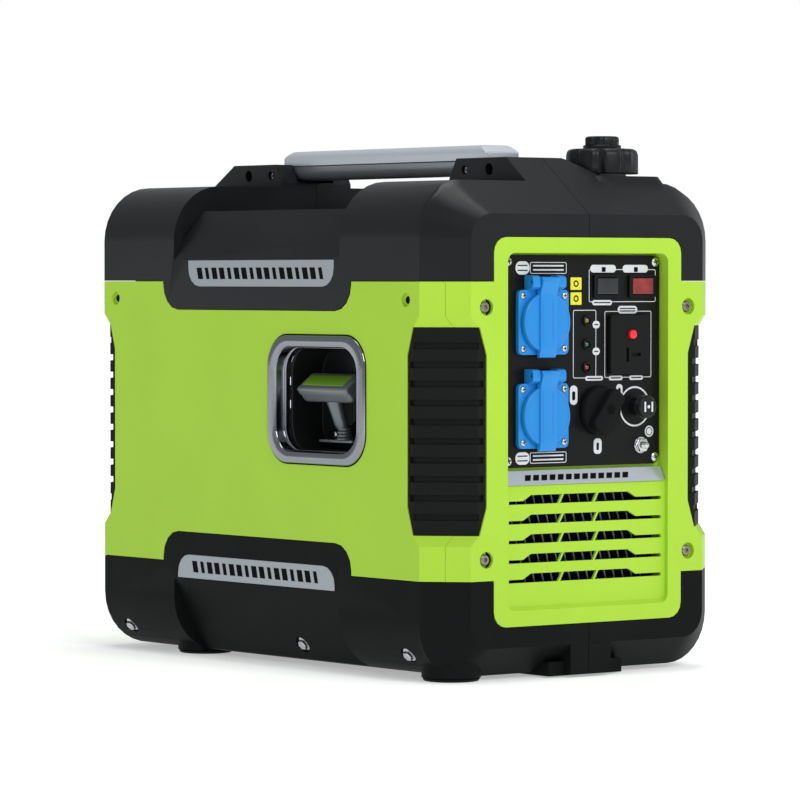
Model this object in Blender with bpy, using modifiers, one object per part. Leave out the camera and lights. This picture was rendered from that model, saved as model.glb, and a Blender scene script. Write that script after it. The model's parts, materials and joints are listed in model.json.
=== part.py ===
"""Portable inverter generator with a two-part plastic casing.

Metres, +Z up. The origin is on the floor under the middle of the casing.
The control panel faces -Y and the recoil starter faces -X.
"""
import math

import bmesh
import bpy
from mathutils import Matrix, Vector

MM = 0.001

# Casing
HALF_X = 145 * MM
HALF_Y = 241 * MM
CORNER = 28 * MM
FACE_X = HALF_X - CORNER
FACE_Y = HALF_Y - CORNER
BASE_Z = 3 * MM
FACE_LOW_Z = 26 * MM
FACE_TOP_Z = 358 * MM
SHOULDER_Z = 384 * MM
SHOULDER_Y = 207.5 * MM
REAR_SHOULDER_Y = 213 * MM
SHOULDER_R = 45 * MM
FACE_R = 20 * MM
WALL = 3 * MM
INNER_CORNER_SUM = 337 * MM
GAP = 0.5 * MM
ARC_STEPS = 4
SECTION_STEPS = 8
SEAM_Y = 227 * MM
BAND_LOW_Z = 77.5 * MM
BAND_TOP_Z = 306.5 * MM
TAB_Y = 127 * MM
TAB_R = 21 * MM
TAB_TOP_Z = 102 * MM
TAB_LOW_Z = 283.5 * MM
NOTCH_X = 95 * MM
NOTCH_TOP_Z = 340.5 * MM
NOTCH_LOW_Z = 41.4 * MM
NOTCH_R = 12 * MM

# Waist between the shoulders
WAIST_Y = 112 * MM
WAIST_FLOOR_Z = 338 * MM
RIDGE_X = 125 * MM
RIDGE_Z = 363 * MM
RIDGE_FOOT_Z = 323 * MM
RIDGE_END_Y = 97 * MM
SKIRT_Z = 64 * MM

# Spine, ears and handle
EAR_X = 36 * MM
EAR_TOP_Z = 403 * MM
EAR_INNER_Y = 121 * MM
REAR_EAR_Y = (211 * MM, 179 * MM)
EAR_HOLE_Z = 393.8 * MM
HANDLE_HALF_Y = 134 * MM
HANDLE_HALF_X = 17 * MM
HANDLE_TOP_Z = 414 * MM
HANDLE_SPLIT_Z = 402 * MM
HANDLE_LOW_Z = 390 * MM
SLOT_CLEARANCE = 1.6 * MM

# Fuel filler
CAP_X = 68 * MM
CAP_Y = -176 * MM
PLATEAU_Z = 389 * MM
PLATEAU_X = 105.5 * MM
CAP_LOW_Z = 391 * MM
CAP_TOP_Z = 411 * MM
CAP_R = 29 * MM
KNOB_R = 15.2 * MM
KNOB_TOP_Z = 421 * MM
NECK_R = 19 * MM
LOBE_STEPS = 4

# Front recess, panel and louvers
RECESS_X = 81 * MM
RECESS_LOW_Z = 54 * MM
RECESS_TOP_Z = 328 * MM
PANEL_FLOOR_Y = -228.5 * MM
PANEL_FACE_Y = -231.5 * MM
LOUVER_FACE_Y = -237.3 * MM
FRONT_BACK_Y = -224 * MM
STRIP_LOW_Z = 149 * MM
STRIP_TOP_Z = 160.5 * MM
SLOT_PITCH = 15.05 * MM
SLOT_FIRST_Z = 75 * MM
SLOT_COUNT = 5

# Controls on the panel
SOCKET_X = -41 * MM
SOCKET_Z = (274.7 * MM, 202.7 * MM)
ROCKERS = ((25 * MM, "dark"), (61 * MM, "red"))
ROCKER_Z = 302.4 * MM
LED_X = 5 * MM
LEDS = (("yellow", 275.8 * MM), ("green", 257.3 * MM), ("red", 239.4 * MM))
DC_BOX = (26.4 * MM, 67.3 * MM, 234 * MM, 280 * MM)
BUTTON_AT = (48 * MM, 264.8 * MM)
KNOB_AT = (17.5 * MM, 205.6 * MM)
CHOKE_AT = (55.6 * MM, 208.3 * MM)
GROUND_AT = (60 * MM, 178 * MM)
FLANGE_HALF = 25 * MM
WELL_R = 19.6 * MM
HINGE_UP = 31 * MM
HINGE_Y = PANEL_FACE_Y - 8.5 * MM

# Corner grips
GRIP_SUM = 350 * MM
GRIP_LOW_Z = 113 * MM
GRIP_TOP_Z = 271 * MM
GRIP_TAPER = 21 * MM
GRIP_SIDE_Y = 198 * MM
GRIP_FRONT_X = 102 * MM
GRIP_DEPTH = 4 * MM
GRIP_SUNK = 0.8 * MM
GRIP_RAMP = 8.5 * MM
GROOVE_PITCH = 14.5 * MM
GROOVE_HEIGHT = 5 * MM
GROOVE_COUNT = 10

# Recoil starter window
WINDOW_Y = (-146 * MM, -19 * MM)
WINDOW_Z = (163 * MM, 264 * MM)
WINDOW_R = 25 * MM
CUP_BACK_X = -102 * MM
ROPE_Y = -79 * MM
ROPE_Z = 190 * MM

# Feet, each under a round boss of the base
FOOT_R = 22 * MM
FOOT_TOP_Z = 2.4 * MM
BOSS_LOW_Z = 2.8 * MM
FEET = {
    "front_left": (-106 * MM, -203 * MM),
    "front_right": (102 * MM, -137 * MM),
    "rear_left": (-102 * MM, 128 * MM),
    "rear_right": (102 * MM, 128 * MM),
}

# Crankshaft axis
CRANK_Y = 60 * MM
CRANK_Z = 108 * MM

PARTS = "inverter_generator"
CUTTERS = "cutters"

FINISHES = {
    "lime_plastic": ((0.34, 0.58, 0.07), 0.42, 0.0),
    "black_plastic": ((0.022, 0.024, 0.025), 0.5, 0.0),
    "black_rubber": ((0.018, 0.018, 0.019), 0.72, 0.0),
    "silver_trim": ((0.42, 0.45, 0.48), 0.35, 0.8),
    "chrome": ((0.75, 0.76, 0.78), 0.12, 1.0),
    "aluminium": ((0.6, 0.62, 0.64), 0.3, 1.0),
    "grey_metal": ((0.2, 0.21, 0.22), 0.45, 1.0),
    "handle_grey": ((0.2, 0.21, 0.22), 0.42, 1.0),
    "exhaust_metal": ((0.3, 0.3, 0.3), 0.6, 1.0),
    "blue_plastic": ((0.03, 0.33, 0.86), 0.35, 0.0),
    "panel_black": ((0.012, 0.012, 0.013), 0.3, 0.0),
    "red_plastic": ((0.75, 0.02, 0.03), 0.3, 0.0),
    "amber_red": ((0.55, 0.08, 0.05), 0.25, 0.0),
    "yellow_lens": ((0.75, 0.6, 0.05), 0.2, 0.0),
    "green_lens": ((0.03, 0.35, 0.06), 0.2, 0.0),
    "red_lens": ((0.5, 0.02, 0.02), 0.2, 0.0),
    "cast_metal": ((0.35, 0.36, 0.37), 0.55, 1.0),
    "rope": ((0.05, 0.05, 0.05), 0.9, 0.0),
    "tank_plastic": ((0.08, 0.08, 0.08), 0.5, 0.0),
}


def clear_scene():
    for item in list(bpy.data.objects):
        bpy.data.objects.remove(item, do_unlink=True)


def make_collections():
    for name in (PARTS, CUTTERS):
        collection = bpy.data.collections.new(name)
        bpy.context.scene.collection.children.link(collection)


def make_materials():
    for name, (colour, roughness, metallic) in FINISHES.items():
        material = bpy.data.materials.new(name)
        material.use_nodes = True
        shader = material.node_tree.nodes["Principled BSDF"]
        shader.inputs["Base Color"].default_value = (*colour, 1.0)
        shader.inputs["Roughness"].default_value = roughness
        shader.inputs["Metallic"].default_value = metallic


# Meshes


def mesh_from(name, bm):
    """Mesh with its faces pointing out."""
    bmesh.ops.recalc_face_normals(bm, faces=bm.faces)
    if bm.calc_volume(signed=True) < 0:
        bmesh.ops.reverse_faces(bm, faces=bm.faces)
    mesh = bpy.data.meshes.new(name)
    bm.to_mesh(mesh)
    bm.free()
    return mesh


def box_mesh(name, low, high):
    """Block between two opposite corners."""
    low = Vector(low)
    high = Vector(high)
    bm = bmesh.new()
    matrix = Matrix.Translation((low + high) / 2) @ Matrix.Diagonal((*(high - low), 1))
    bmesh.ops.create_cube(bm, size=1, matrix=matrix)
    return mesh_from(name, bm)


AXIS_TURNS = {
    "X": Matrix.Rotation(math.pi / 2, 4, "Y"),
    "Y": Matrix.Rotation(-math.pi / 2, 4, "X"),
    "Z": Matrix.Identity(4),
}


def round_mesh(name, axis, centre, low, high, radius, end_radius=None, segments=24):
    """Cylinder or cone along an axis. The centre holds the two other coordinates."""
    matrix = AXIS_TURNS[axis].copy()
    place = list(centre)
    place.insert("XYZ".index(axis), (low + high) / 2)
    bm = bmesh.new()
    bmesh.ops.create_cone(
        bm,
        cap_ends=True,
        segments=segments,
        radius1=radius,
        radius2=radius if end_radius is None else end_radius,
        depth=high - low,
        matrix=Matrix.Translation(place) @ matrix,
    )
    return mesh_from(name, bm)


def joined_mesh(name, meshes):
    """One mesh of several solids that don't touch."""
    bm = bmesh.new()
    for mesh in meshes:
        bm.from_mesh(mesh)
    return mesh_from(name, bm)


def rounded(corners, steps=ARC_STEPS):
    """Closed outline: each corner (u, v, radius) becomes an arc."""
    outline = []
    for i, (u, v, radius) in enumerate(corners):
        corner = Vector((u, v))
        if radius <= 0:
            outline.append(corner)
            continue
        to_last = (Vector(corners[i - 1][:2]) - corner).normalized()
        to_next = (Vector(corners[(i + 1) % len(corners)][:2]) - corner).normalized()
        half = to_last.angle(to_next) / 2
        centre = corner + (to_last + to_next).normalized() * radius / math.sin(half)
        start = corner + to_last * radius / math.tan(half) - centre
        end = corner + to_next * radius / math.tan(half) - centre
        sweep = start.angle_signed(end)
        for step in range(steps + 1):
            turn = Matrix.Rotation(-sweep * step / steps, 2)
            outline.append(centre + turn @ start)
    return [(point.x, point.y) for point in outline]


def rectangle(u_low, u_high, v_low, v_high, radius=0.0, steps=ARC_STEPS):
    corners = [(u_low, v_low), (u_high, v_low), (u_high, v_high), (u_low, v_high)]
    return rounded([(u, v, radius) for u, v in corners], steps)


PLANES = {
    "XY": lambda u, v, w: (u, v, w),
    "XZ": lambda u, v, w: (u, w, v),
    "YZ": lambda u, v, w: (w, u, v),
}


def outline_mesh(name, loops, plane, low, high):
    """Solid between two parallel planes, from closed outlines. An outline inside another is a hole."""
    curve = bpy.data.curves.new(name, "CURVE")
    curve.dimensions = "2D"
    curve.fill_mode = "BOTH"
    curve.extrude = (high - low) / 2
    for loop in loops:
        spline = curve.splines.new("POLY")
        spline.points.add(len(loop) - 1)
        for point, (u, v) in zip(spline.points, loop):
            point.co = (u, v, 0, 1)
        spline.use_cyclic_u = True
    flat = bpy.data.objects.new(name, curve)
    bpy.context.scene.collection.objects.link(flat)
    depsgraph = bpy.context.evaluated_depsgraph_get()
    solid = bpy.data.meshes.new_from_object(flat.evaluated_get(depsgraph))
    bm = bmesh.new()
    bm.from_mesh(solid)
    bmesh.ops.remove_doubles(bm, verts=bm.verts, dist=0.01 * MM)
    middle = (low + high) / 2
    for vertex in bm.verts:
        vertex.co = PLANES[plane](vertex.co.x, vertex.co.y, vertex.co.z + middle)
    bpy.data.objects.remove(flat)
    bpy.data.curves.remove(curve)
    bpy.data.meshes.remove(solid)
    return mesh_from(name, bm)


def loft_mesh(name, rings, closed=False):
    """Skin over rings with equal point counts, capped at both ends or closed on itself."""
    bm = bmesh.new()
    loops = [[bm.verts.new(point) for point in ring] for ring in rings]
    pairs = list(zip(loops, loops[1:]))
    if closed:
        pairs.append((loops[-1], loops[0]))
    else:
        bm.faces.new(loops[0])
        bm.faces.new(loops[-1])
    for first, second in pairs:
        for i in range(len(first)):
            j = (i + 1) % len(first)
            bm.faces.new((first[i], first[j], second[j], second[i]))
    return mesh_from(name, bm)


# Objects


def add_object(name, mesh, collection):
    item = bpy.data.objects.new(name, mesh)
    bpy.data.collections[collection].objects.link(item)
    return item


def cutter(mesh):
    item = add_object("cut_" + mesh.name, mesh, CUTTERS)
    item.hide_render = True
    item.display_type = "WIRE"
    return item


def part(name, mesh, finish, origin=None):
    """Sub-part in its own finish. The origin is where a moving part turns or slides."""
    item = add_object(name, mesh, PARTS)
    mesh.materials.clear()
    mesh.materials.append(bpy.data.materials[finish])
    mesh.name = name
    mesh.shade_smooth()
    mesh.set_sharp_from_angle(angle=math.radians(35))
    if origin is not None:
        mesh.transform(Matrix.Translation(-Vector(origin)))
        item.location = origin
    return item


def carve(item, tool, operation="DIFFERENCE"):
    modifier = item.modifiers.new(tool.name, "BOOLEAN")
    modifier.operation = operation
    modifier.solver = "EXACT"
    modifier.object = tool
    return item


def join(item, tool):
    return carve(item, tool, "UNION")


def keep(item, tool):
    return carve(item, tool, "INTERSECT")


def baked_mesh(item, name):
    """The item's mesh with its modifiers applied."""
    bpy.context.view_layer.update()
    depsgraph = bpy.context.evaluated_depsgraph_get()
    mesh = bpy.data.meshes.new_from_object(item.evaluated_get(depsgraph))
    mesh.name = name
    return mesh


def soften(item, width, segments=1, angle=40):
    """Rounded edges where the faces meet at more than the angle."""
    modifier = item.modifiers.new("edges", "BEVEL")
    modifier.width = width
    modifier.segments = segments
    modifier.limit_method = "ANGLE"
    modifier.angle_limit = math.radians(angle)
    return item


def turned_part(name, profile, finish, axis, place, steps=20):
    """Turned piece: the profile of (radius, height) runs from its top to its bottom."""
    bm = bmesh.new()
    points = [bm.verts.new((radius, 0, height)) for radius, height in profile]
    for first, second in zip(points, points[1:]):
        bm.edges.new((first, second))
    mesh = bpy.data.meshes.new(name)
    bm.to_mesh(mesh)
    bm.free()
    item = add_object(name, mesh, PARTS)
    mesh.materials.append(bpy.data.materials[finish])
    item.matrix_world = Matrix.Translation(place) @ axis
    screw = item.modifiers.new("turn", "SCREW")
    screw.steps = steps
    screw.render_steps = steps
    screw.use_merge_vertices = True
    screw.merge_threshold = 0.00001
    return item


# A profile's height points away from the panel, out of the left side, or up.
OUT_FRONT = Matrix.Rotation(math.pi / 2, 4, "X")
OUT_LEFT = Matrix.Rotation(-math.pi / 2, 4, "Y")
UP = Matrix.Identity(4)


# Casing


def casing_section(y, half_x, low, high, r_low, r_high):
    """Closed ring round the casing at one place along its length."""
    corners = [
        (-half_x, low, r_low),
        (half_x, low, r_low),
        (half_x, high, r_high),
        (-half_x, high, r_high),
    ]
    return [(x, y, z) for x, z in rounded(corners, SECTION_STEPS)]


def casing_solid():
    slope = (SHOULDER_Z - FACE_TOP_Z) / (HALF_Y - SHOULDER_Y)
    chamfer_top = FACE_TOP_Z + slope * CORNER
    end = (FACE_X, FACE_LOW_Z, FACE_TOP_Z, FACE_R, FACE_R)
    full = (HALF_X, BASE_Z, SHOULDER_Z, SHOULDER_R, SHOULDER_R)
    rings = [
        casing_section(-HALF_Y, *end),
        casing_section(-FACE_Y, HALF_X, BASE_Z, chamfer_top, 40 * MM, 42 * MM),
        casing_section(-SHOULDER_Y, *full),
        casing_section(REAR_SHOULDER_Y, *full),
        casing_section(HALF_Y, *end),
    ]
    return loft_mesh("casing", rings)


def casing_hollow():
    y_face = HALF_Y - WALL
    x_face = INNER_CORNER_SUM - y_face
    x_side = HALF_X - WALL
    y_side = INNER_CORNER_SUM - x_side
    low = BASE_Z + WALL
    top = SHOULDER_Z - WALL
    half = [
        (y_face, x_face, FACE_LOW_Z + WALL, FACE_TOP_Z - WALL, 16 * MM, 16 * MM),
        (y_side, x_side, low, top, SHOULDER_R - WALL, SHOULDER_R - WALL),
    ]
    rings = [casing_section(-half[i][0], *half[i][1:]) for i in range(2)]
    rings += [casing_section(half[i][0], *half[i][1:]) for i in (1, 0)]
    return loft_mesh("hollow", rings)


def waist_outline():
    """Cross-section of the air over the waist, between the shoulders."""
    far = HALF_X + 15 * MM
    top = 425 * MM
    right = [
        (far, top),
        (far, RIDGE_FOOT_Z),
        (HALF_X, RIDGE_FOOT_Z),
        (RIDGE_X, RIDGE_Z),
        (RIDGE_X - 6 * MM, RIDGE_Z),
        (RIDGE_X - 17 * MM, WAIST_FLOOR_Z),
    ]
    return right + [(-x, z) for x, z in reversed(right)]


def waist_hollow_outline():
    """The same, grown by the wall thickness, for the inside of the shell."""
    far = HALF_X + 15 * MM
    right = [
        (far, 425 * MM),
        (far, RIDGE_FOOT_Z - 5 * MM),
        (HALF_X - WALL, RIDGE_FOOT_Z - 5 * MM),
        (RIDGE_X + 8.5 * MM, WAIST_FLOOR_Z - WALL),
    ]
    return right + [(-x, z) for x, z in reversed(right)]


def skirt_outline(side, wall):
    """Air beside the sloping skirt under the waist, on one side."""
    far = HALF_X + 15 * MM
    points = [
        (far, SKIRT_Z + wall),
        (HALF_X - wall, SKIRT_Z + wall),
        (RIDGE_X - 0.7 * wall, 24 * MM + wall),
        (RIDGE_X - 13 * MM - wall, BASE_Z + wall),
        (RIDGE_X - 13 * MM - wall, -5 * MM),
        (far, -5 * MM),
    ]
    return [(side * x, z) for x, z in points]


def spine_side_outline(sign, foot_y, top_y):
    """Side view of the raised spine at one end, from the foot of its slope to the waist."""
    points = [
        (foot_y - 2 * MM, SHOULDER_Z - 5 * MM),
        (foot_y, SHOULDER_Z),
        (top_y, EAR_TOP_Z),
        (EAR_INNER_Y, EAR_TOP_Z),
        (WAIST_Y, SHOULDER_Z + 3 * MM),
        (WAIST_Y, SHOULDER_Z - 5 * MM),
    ]
    return [(sign * y, z) for y, z in points]


def spine_front():
    """Front end of the spine, which falls away towards the filler on its right."""
    low = SHOULDER_Z - 4 * MM
    outline = rounded(
        [
            (-EAR_X, low, 0),
            (EAR_X + 16 * MM, low, 0),
            (EAR_X + 9 * MM, PLATEAU_Z, 6 * MM),
            (21 * MM, EAR_TOP_Z + 0.1 * MM, 12 * MM),
            (-EAR_X, EAR_TOP_Z + 0.1 * MM, 0),
        ]
    )
    item = cutter(outline_mesh("spine_front", [outline], "XZ", -SHOULDER_Y - 5 * MM, -WAIST_Y))
    slope = (SHOULDER_Z - FACE_TOP_Z) / (HALF_Y - SHOULDER_Y)
    top_y = SHOULDER_Y - (EAR_TOP_Z - SHOULDER_Z) / slope
    side = spine_side_outline(-1, SHOULDER_Y, top_y)
    keep(item, cutter(outline_mesh("spine_side", [side], "YZ", -60 * MM, 60 * MM)))
    return item


def plateau():
    """Raised pad round the fuel filler."""
    rings = []
    for z, grow in ((SHOULDER_Z - 14 * MM, 10 * MM), (PLATEAU_Z, 0.0)):
        outline = rectangle(
            EAR_X + 2 * MM - grow,
            PLATEAU_X + grow,
            CAP_Y - 33 * MM - grow,
            CAP_Y + 36 * MM + grow,
            14 * MM,
        )
        rings.append([(x, y, z) for x, y in outline])
    return cutter(loft_mesh("plateau", rings))


def grip_rings(grow, outward):
    """Rings of a corner grip from the bottom up, in the first quadrant."""
    full = [GRIP_LOW_Z + GRIP_TAPER, GRIP_TOP_Z - GRIP_TAPER]
    levels = [(GRIP_LOW_Z - grow, 0.0), (full[0], 1.0), (full[1], 1.0), (GRIP_TOP_Z + grow, 0.0)]
    x_out = HALF_X - GRIP_SUNK
    y_out = HALF_Y - GRIP_SUNK
    tip_y = GRIP_SUM - x_out
    tip_x = GRIP_SUM - y_out
    deep = GRIP_DEPTH + grow
    rings = []
    for z, spread in levels:
        side_y = tip_y - 1 * MM + spread * (GRIP_SIDE_Y - tip_y + 1 * MM) - grow
        front_x = tip_x - 1 * MM + spread * (GRIP_FRONT_X - tip_x + 1 * MM) - grow
        skew = deep * math.tan(math.radians(22.5))
        ring = [
            (x_out + outward, side_y),
            (x_out + outward, tip_y + outward * 0.414),
            (tip_x + outward * 0.414, y_out + outward),
            (front_x, y_out + outward),
            (front_x, y_out - deep),
            (tip_x - skew, y_out - deep),
            (x_out - deep, tip_y - skew),
            (x_out - deep, side_y),
        ]
        rings.append([(x, y, z) for x, y in ring])
    return rings


def corner_ramp():
    """Wedge that sinks the corner behind a grip, with a ramp at both ends."""
    rings = []
    outer_sum = HALF_X + FACE_Y
    levels = [
        (GRIP_LOW_Z - GRIP_RAMP, outer_sum + 0.1 * MM),
        (GRIP_LOW_Z, GRIP_SUM),
        (GRIP_TOP_Z, GRIP_SUM),
        (GRIP_TOP_Z + GRIP_RAMP, outer_sum + 0.1 * MM),
    ]
    far = 20 * MM
    for z, total in levels:
        ring = [
            (HALF_X + far, total - HALF_X - far),
            (HALF_X + far, HALF_Y + far),
            (total - HALF_Y - far, HALF_Y + far),
        ]
        rings.append([(x, y, z) for x, y in ring])
    return rings


CORNERS = {
    "front_left": (-1, -1),
    "front_right": (1, -1),
    "rear_left": (-1, 1),
    "rear_right": (1, 1),
}


def mirrored(rings, sign_x, sign_y):
    return [[(sign_x * x, sign_y * y, z) for x, y, z in ring] for ring in rings]


def ear_holes():
    """Two holes in the outer face of each ear."""
    holes = []
    rows = [(-131, 3.6, 9), (-162, 4.8, 8), (127.5, 3.6, 9), (158.5, 4.8, 8)]
    for side in (-1, 1):
        for y, radius, depth in rows:
            low, high = sorted((side * (EAR_X - depth * MM), side * (EAR_X + 3 * MM)))
            place = (y * MM, EAR_HOLE_Z)
            holes.append(round_mesh("hole", "X", place, low, high, radius * MM, segments=14))
    return cutter(joined_mesh("ear_holes", holes))


def casing_shell():
    """The whole hollow casing before it is split into covers."""
    item = cutter(casing_solid())
    join(item, spine_front())
    rear = outline_mesh("spine_rear", [spine_side_outline(1, *REAR_EAR_Y)], "YZ", -EAR_X, EAR_X)
    join(item, cutter(rear))
    join(item, plateau())
    lug = box_mesh("front_lug", (-18 * MM, -HALF_Y + 0.4 * MM, 2 * MM), (22.5 * MM, -200 * MM, 38 * MM))
    join(item, cutter(lug))
    keel = box_mesh("keel", (-33 * MM, -232 * MM, 1 * MM), (41 * MM, -150 * MM, 12 * MM))
    join(item, cutter(keel))
    for name, place in FEET.items():
        boss = round_mesh("boss_" + name, "Z", place, BOSS_LOW_Z, 20 * MM, FOOT_R + 1 * MM, segments=32)
        join(item, cutter(boss))
    carve(item, cutter(outline_mesh("waist", [waist_outline()], "XZ", -WAIST_Y, WAIST_Y)))
    for end in (-1, 1):
        notch = [
            (end * (WAIST_Y + 0.05 * MM), WAIST_FLOOR_Z),
            (end * (WAIST_Y + 0.05 * MM), RIDGE_Z + 5 * MM),
            (end * RIDGE_END_Y, RIDGE_Z + 5 * MM),
            (end * RIDGE_END_Y, RIDGE_Z),
        ]
        far = HALF_X + 5 * MM
        carve(item, cutter(outline_mesh("ridge_end", [notch], "YZ", -far, far)))
        low_y = HANDLE_HALF_Y + SLOT_CLEARANCE
        slot = box_mesh(
            "handle_slot",
            (-HANDLE_HALF_X - SLOT_CLEARANCE, min(end * 108 * MM, end * low_y), 388 * MM),
            (HANDLE_HALF_X + SLOT_CLEARANCE, max(end * 108 * MM, end * low_y), 420 * MM),
        )
        carve(item, cutter(slot))
    for side in (-1, 1):
        outline = skirt_outline(side, 0.0)
        carve(item, cutter(outline_mesh("skirt", [outline], "XZ", -WAIST_Y, WAIST_Y)))
    for name, (sign_x, sign_y) in CORNERS.items():
        carve(item, cutter(loft_mesh("ramp_" + name, mirrored(corner_ramp(), sign_x, sign_y))))
        pocket = grip_rings(0.4 * MM, 8 * MM)
        carve(item, cutter(loft_mesh("pocket_" + name, mirrored(pocket, sign_x, sign_y))))
    carve(item, ear_holes())
    carve(item, cutter(casing_inside()))
    bore = round_mesh("filler_bore", "Z", (CAP_X, CAP_Y), 350 * MM, 400 * MM, NECK_R + 3 * MM)
    carve(item, cutter(bore))
    clear = round_mesh(
        "cap_clearance", "Z", (CAP_X, CAP_Y), PLATEAU_Z + 0.2 * MM, 420 * MM, CAP_R + 1.5 * MM
    )
    carve(item, cutter(clear))
    return baked_mesh(item, "shell")


def casing_inside():
    """Solid of the space inside the shell."""
    item = cutter(casing_hollow())
    reach = WAIST_Y + WALL
    carve(item, cutter(outline_mesh("waist_wall", [waist_hollow_outline()], "XZ", -reach, reach)))
    for side in (-1, 1):
        outline = skirt_outline(side, WALL)
        carve(item, cutter(outline_mesh("skirt_wall", [outline], "XZ", -reach, reach)))
    return baked_mesh(item, "inside")


def cover_region(name, x_low, x_high, sign, grow):
    """Space of the top cover (sign 1) or of the base (sign -1), between two planes across."""
    edge = BAND_TOP_Z if sign > 0 else BAND_LOW_Z
    tab = TAB_LOW_Z if sign > 0 else TAB_TOP_Z
    far = edge + sign * 200 * MM
    edge -= sign * grow
    tab -= sign * grow
    reach = 300 * MM
    item = cutter(
        box_mesh(name, (x_low, -reach, min(edge, far)), (x_high, reach, max(edge, far)))
    )
    half = TAB_Y + grow
    tab_outline = rounded(
        [
            (-half, edge + sign * 20 * MM, 0),
            (-half, tab, TAB_R),
            (half, tab, TAB_R),
            (half, edge + sign * 20 * MM, 0),
        ]
    )
    join(item, cutter(outline_mesh(name + "_tab", [tab_outline], "YZ", x_low, x_high)))
    notch = (NOTCH_TOP_Z if sign > 0 else NOTCH_LOW_Z) - sign * grow
    half = NOTCH_X - grow
    start = edge - sign * 60 * MM
    notch_outline = rounded(
        [(-half, start, 0), (-half, notch, NOTCH_R), (half, notch, NOTCH_R), (half, start, 0)]
    )
    for end, tag in ((-1, "_front"), (1, "_rear")):
        y_low, y_high = sorted((end * 200 * MM, end * 260 * MM))
        carve(item, cutter(outline_mesh(name + tag, [notch_outline], "XZ", y_low, y_high)))
    return item


def cover_piece(name, shell, region, finish):
    item = part(name, shell.copy(), finish)
    keep(item, region)
    return item


def split_covers(shell):
    """Black top cover and base halves, and the lime band between them."""
    far = 200 * MM
    seam = 0.2 * MM
    covers = {}
    for side, x_low, x_high in (("left", -far, -seam), ("right", seam, far)):
        region = cover_region("top_" + side, x_low, x_high, 1, 0.0)
        covers["top_cover_" + side] = cover_piece("top_cover_" + side, shell, region, "black_plastic")
        region = cover_region("base_" + side, x_low, x_high, -1, 0.0)
        covers["base_" + side] = cover_piece("base_" + side, shell, region, "black_plastic")
    band = cutter(shell.copy())
    carve(band, cover_region("top_edge", -far, far, 1, GAP))
    carve(band, cover_region("base_edge", -far, far, -1, GAP))
    band_mesh = baked_mesh(band, "band")
    edge = SEAM_Y - 0.2 * MM
    for side, x_low, x_high in (("left", -far, -1 * MM), ("right", 1 * MM, far)):
        region = cutter(box_mesh("side_" + side, (x_low, -edge, 0), (x_high, edge, 0.4)))
        covers["side_cover_" + side] = cover_piece("side_cover_" + side, band_mesh, region, "lime_plastic")
    for end, tag in ((-1, "front"), (1, "rear")):
        y_low, y_high = sorted((end * (SEAM_Y + 0.2 * MM), end * 0.3))
        region = cutter(box_mesh("end_" + tag, (-far, y_low, 0), (far, y_high, 0.4)))
        covers[tag + "_cover"] = cover_piece(tag + "_cover", band_mesh, region, "lime_plastic")
    return covers


# Front cover details


def slot_outlines(z_low):
    """Three openings of one louver: thin ends, a tall middle, and two slanting ribs."""
    thin = 2.6 * MM
    tall = 7 * MM
    end = 77 * MM
    lean = 4 * MM
    rib = 0.9 * MM
    ribs = (-25 * MM, 10 * MM)
    left_rise = (-63 * MM, -55 * MM)
    right_rise = (51 * MM, 43 * MM)

    def slanted(x, offset):
        return (x + offset - lean / 2, z_low), (x + offset + lean / 2, z_low + tall)

    low_a, high_a = slanted(ribs[0], -rib)
    low_b, high_b = slanted(ribs[0], rib)
    low_c, high_c = slanted(ribs[1], -rib)
    low_d, high_d = slanted(ribs[1], rib)
    left = [
        (-end, z_low),
        low_a,
        high_a,
        (left_rise[1], z_low + tall),
        (left_rise[0], z_low + thin),
        (-end, z_low + thin),
    ]
    middle = [low_b, low_c, high_c, high_b]
    right = [
        low_d,
        (end, z_low),
        (end, z_low + thin),
        (right_rise[0], z_low + thin),
        (right_rise[1], z_low + tall),
        high_d,
    ]
    return [left, middle, right]


def louver_cutter(y_low, y_high, name):
    loops = []
    for row in range(SLOT_COUNT):
        loops += slot_outlines(SLOT_FIRST_Z + row * SLOT_PITCH)
    return cutter(outline_mesh(name, loops, "XZ", y_low, y_high))


def finish_front_cover(item):
    """Thick backing, the stepped recess for the panel, louvers and screw wells."""
    backing = outline_mesh(
        "front_backing",
        [rectangle(-RECESS_X - 5 * MM, RECESS_X + 5 * MM, 48 * MM, 333 * MM, 8 * MM)],
        "XZ",
        -HALF_Y + 0.5 * MM,
        FRONT_BACK_Y,
    )
    join(item, cutter(backing))
    out_y = -HALF_Y - 5 * MM
    steps = [
        (out_y, RECESS_TOP_Z + 1 * MM),
        (PANEL_FLOOR_Y, RECESS_TOP_Z + 1 * MM),
        (PANEL_FLOOR_Y, STRIP_TOP_Z + 0.7 * MM),
        (PANEL_FACE_Y, STRIP_TOP_Z),
        (LOUVER_FACE_Y, STRIP_LOW_Z),
        (LOUVER_FACE_Y, RECESS_LOW_Z + 3 * MM),
        (-HALF_Y, RECESS_LOW_Z),
        (out_y, RECESS_LOW_Z),
    ]
    recess = cutter(outline_mesh("recess", [steps], "YZ", -0.1, 0.1))
    outline = rectangle(-RECESS_X, RECESS_X, RECESS_LOW_Z, RECESS_TOP_Z, 7 * MM)
    frame = outline_mesh("recess_frame", [outline], "XZ", -0.26, -0.2)
    keep(recess, cutter(frame))
    carve(item, recess)
    carve(item, louver_cutter(-0.25, -0.2, "louvers"))
    window = rectangle(-69 * MM, 74.5 * MM, 172 * MM, 318 * MM)
    carve(item, cutter(outline_mesh("panel_window", [window], "XZ", -0.25, -0.2)))
    wells = []
    for x in (-102 * MM, 102 * MM):
        for z in (94 * MM, 286.5 * MM):
            wells.append(round_mesh("well", "Y", (x, z), -0.25, -0.2372, 6.5 * MM, segments=14))
    carve(item, cutter(joined_mesh("front_wells", wells)))


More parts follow.
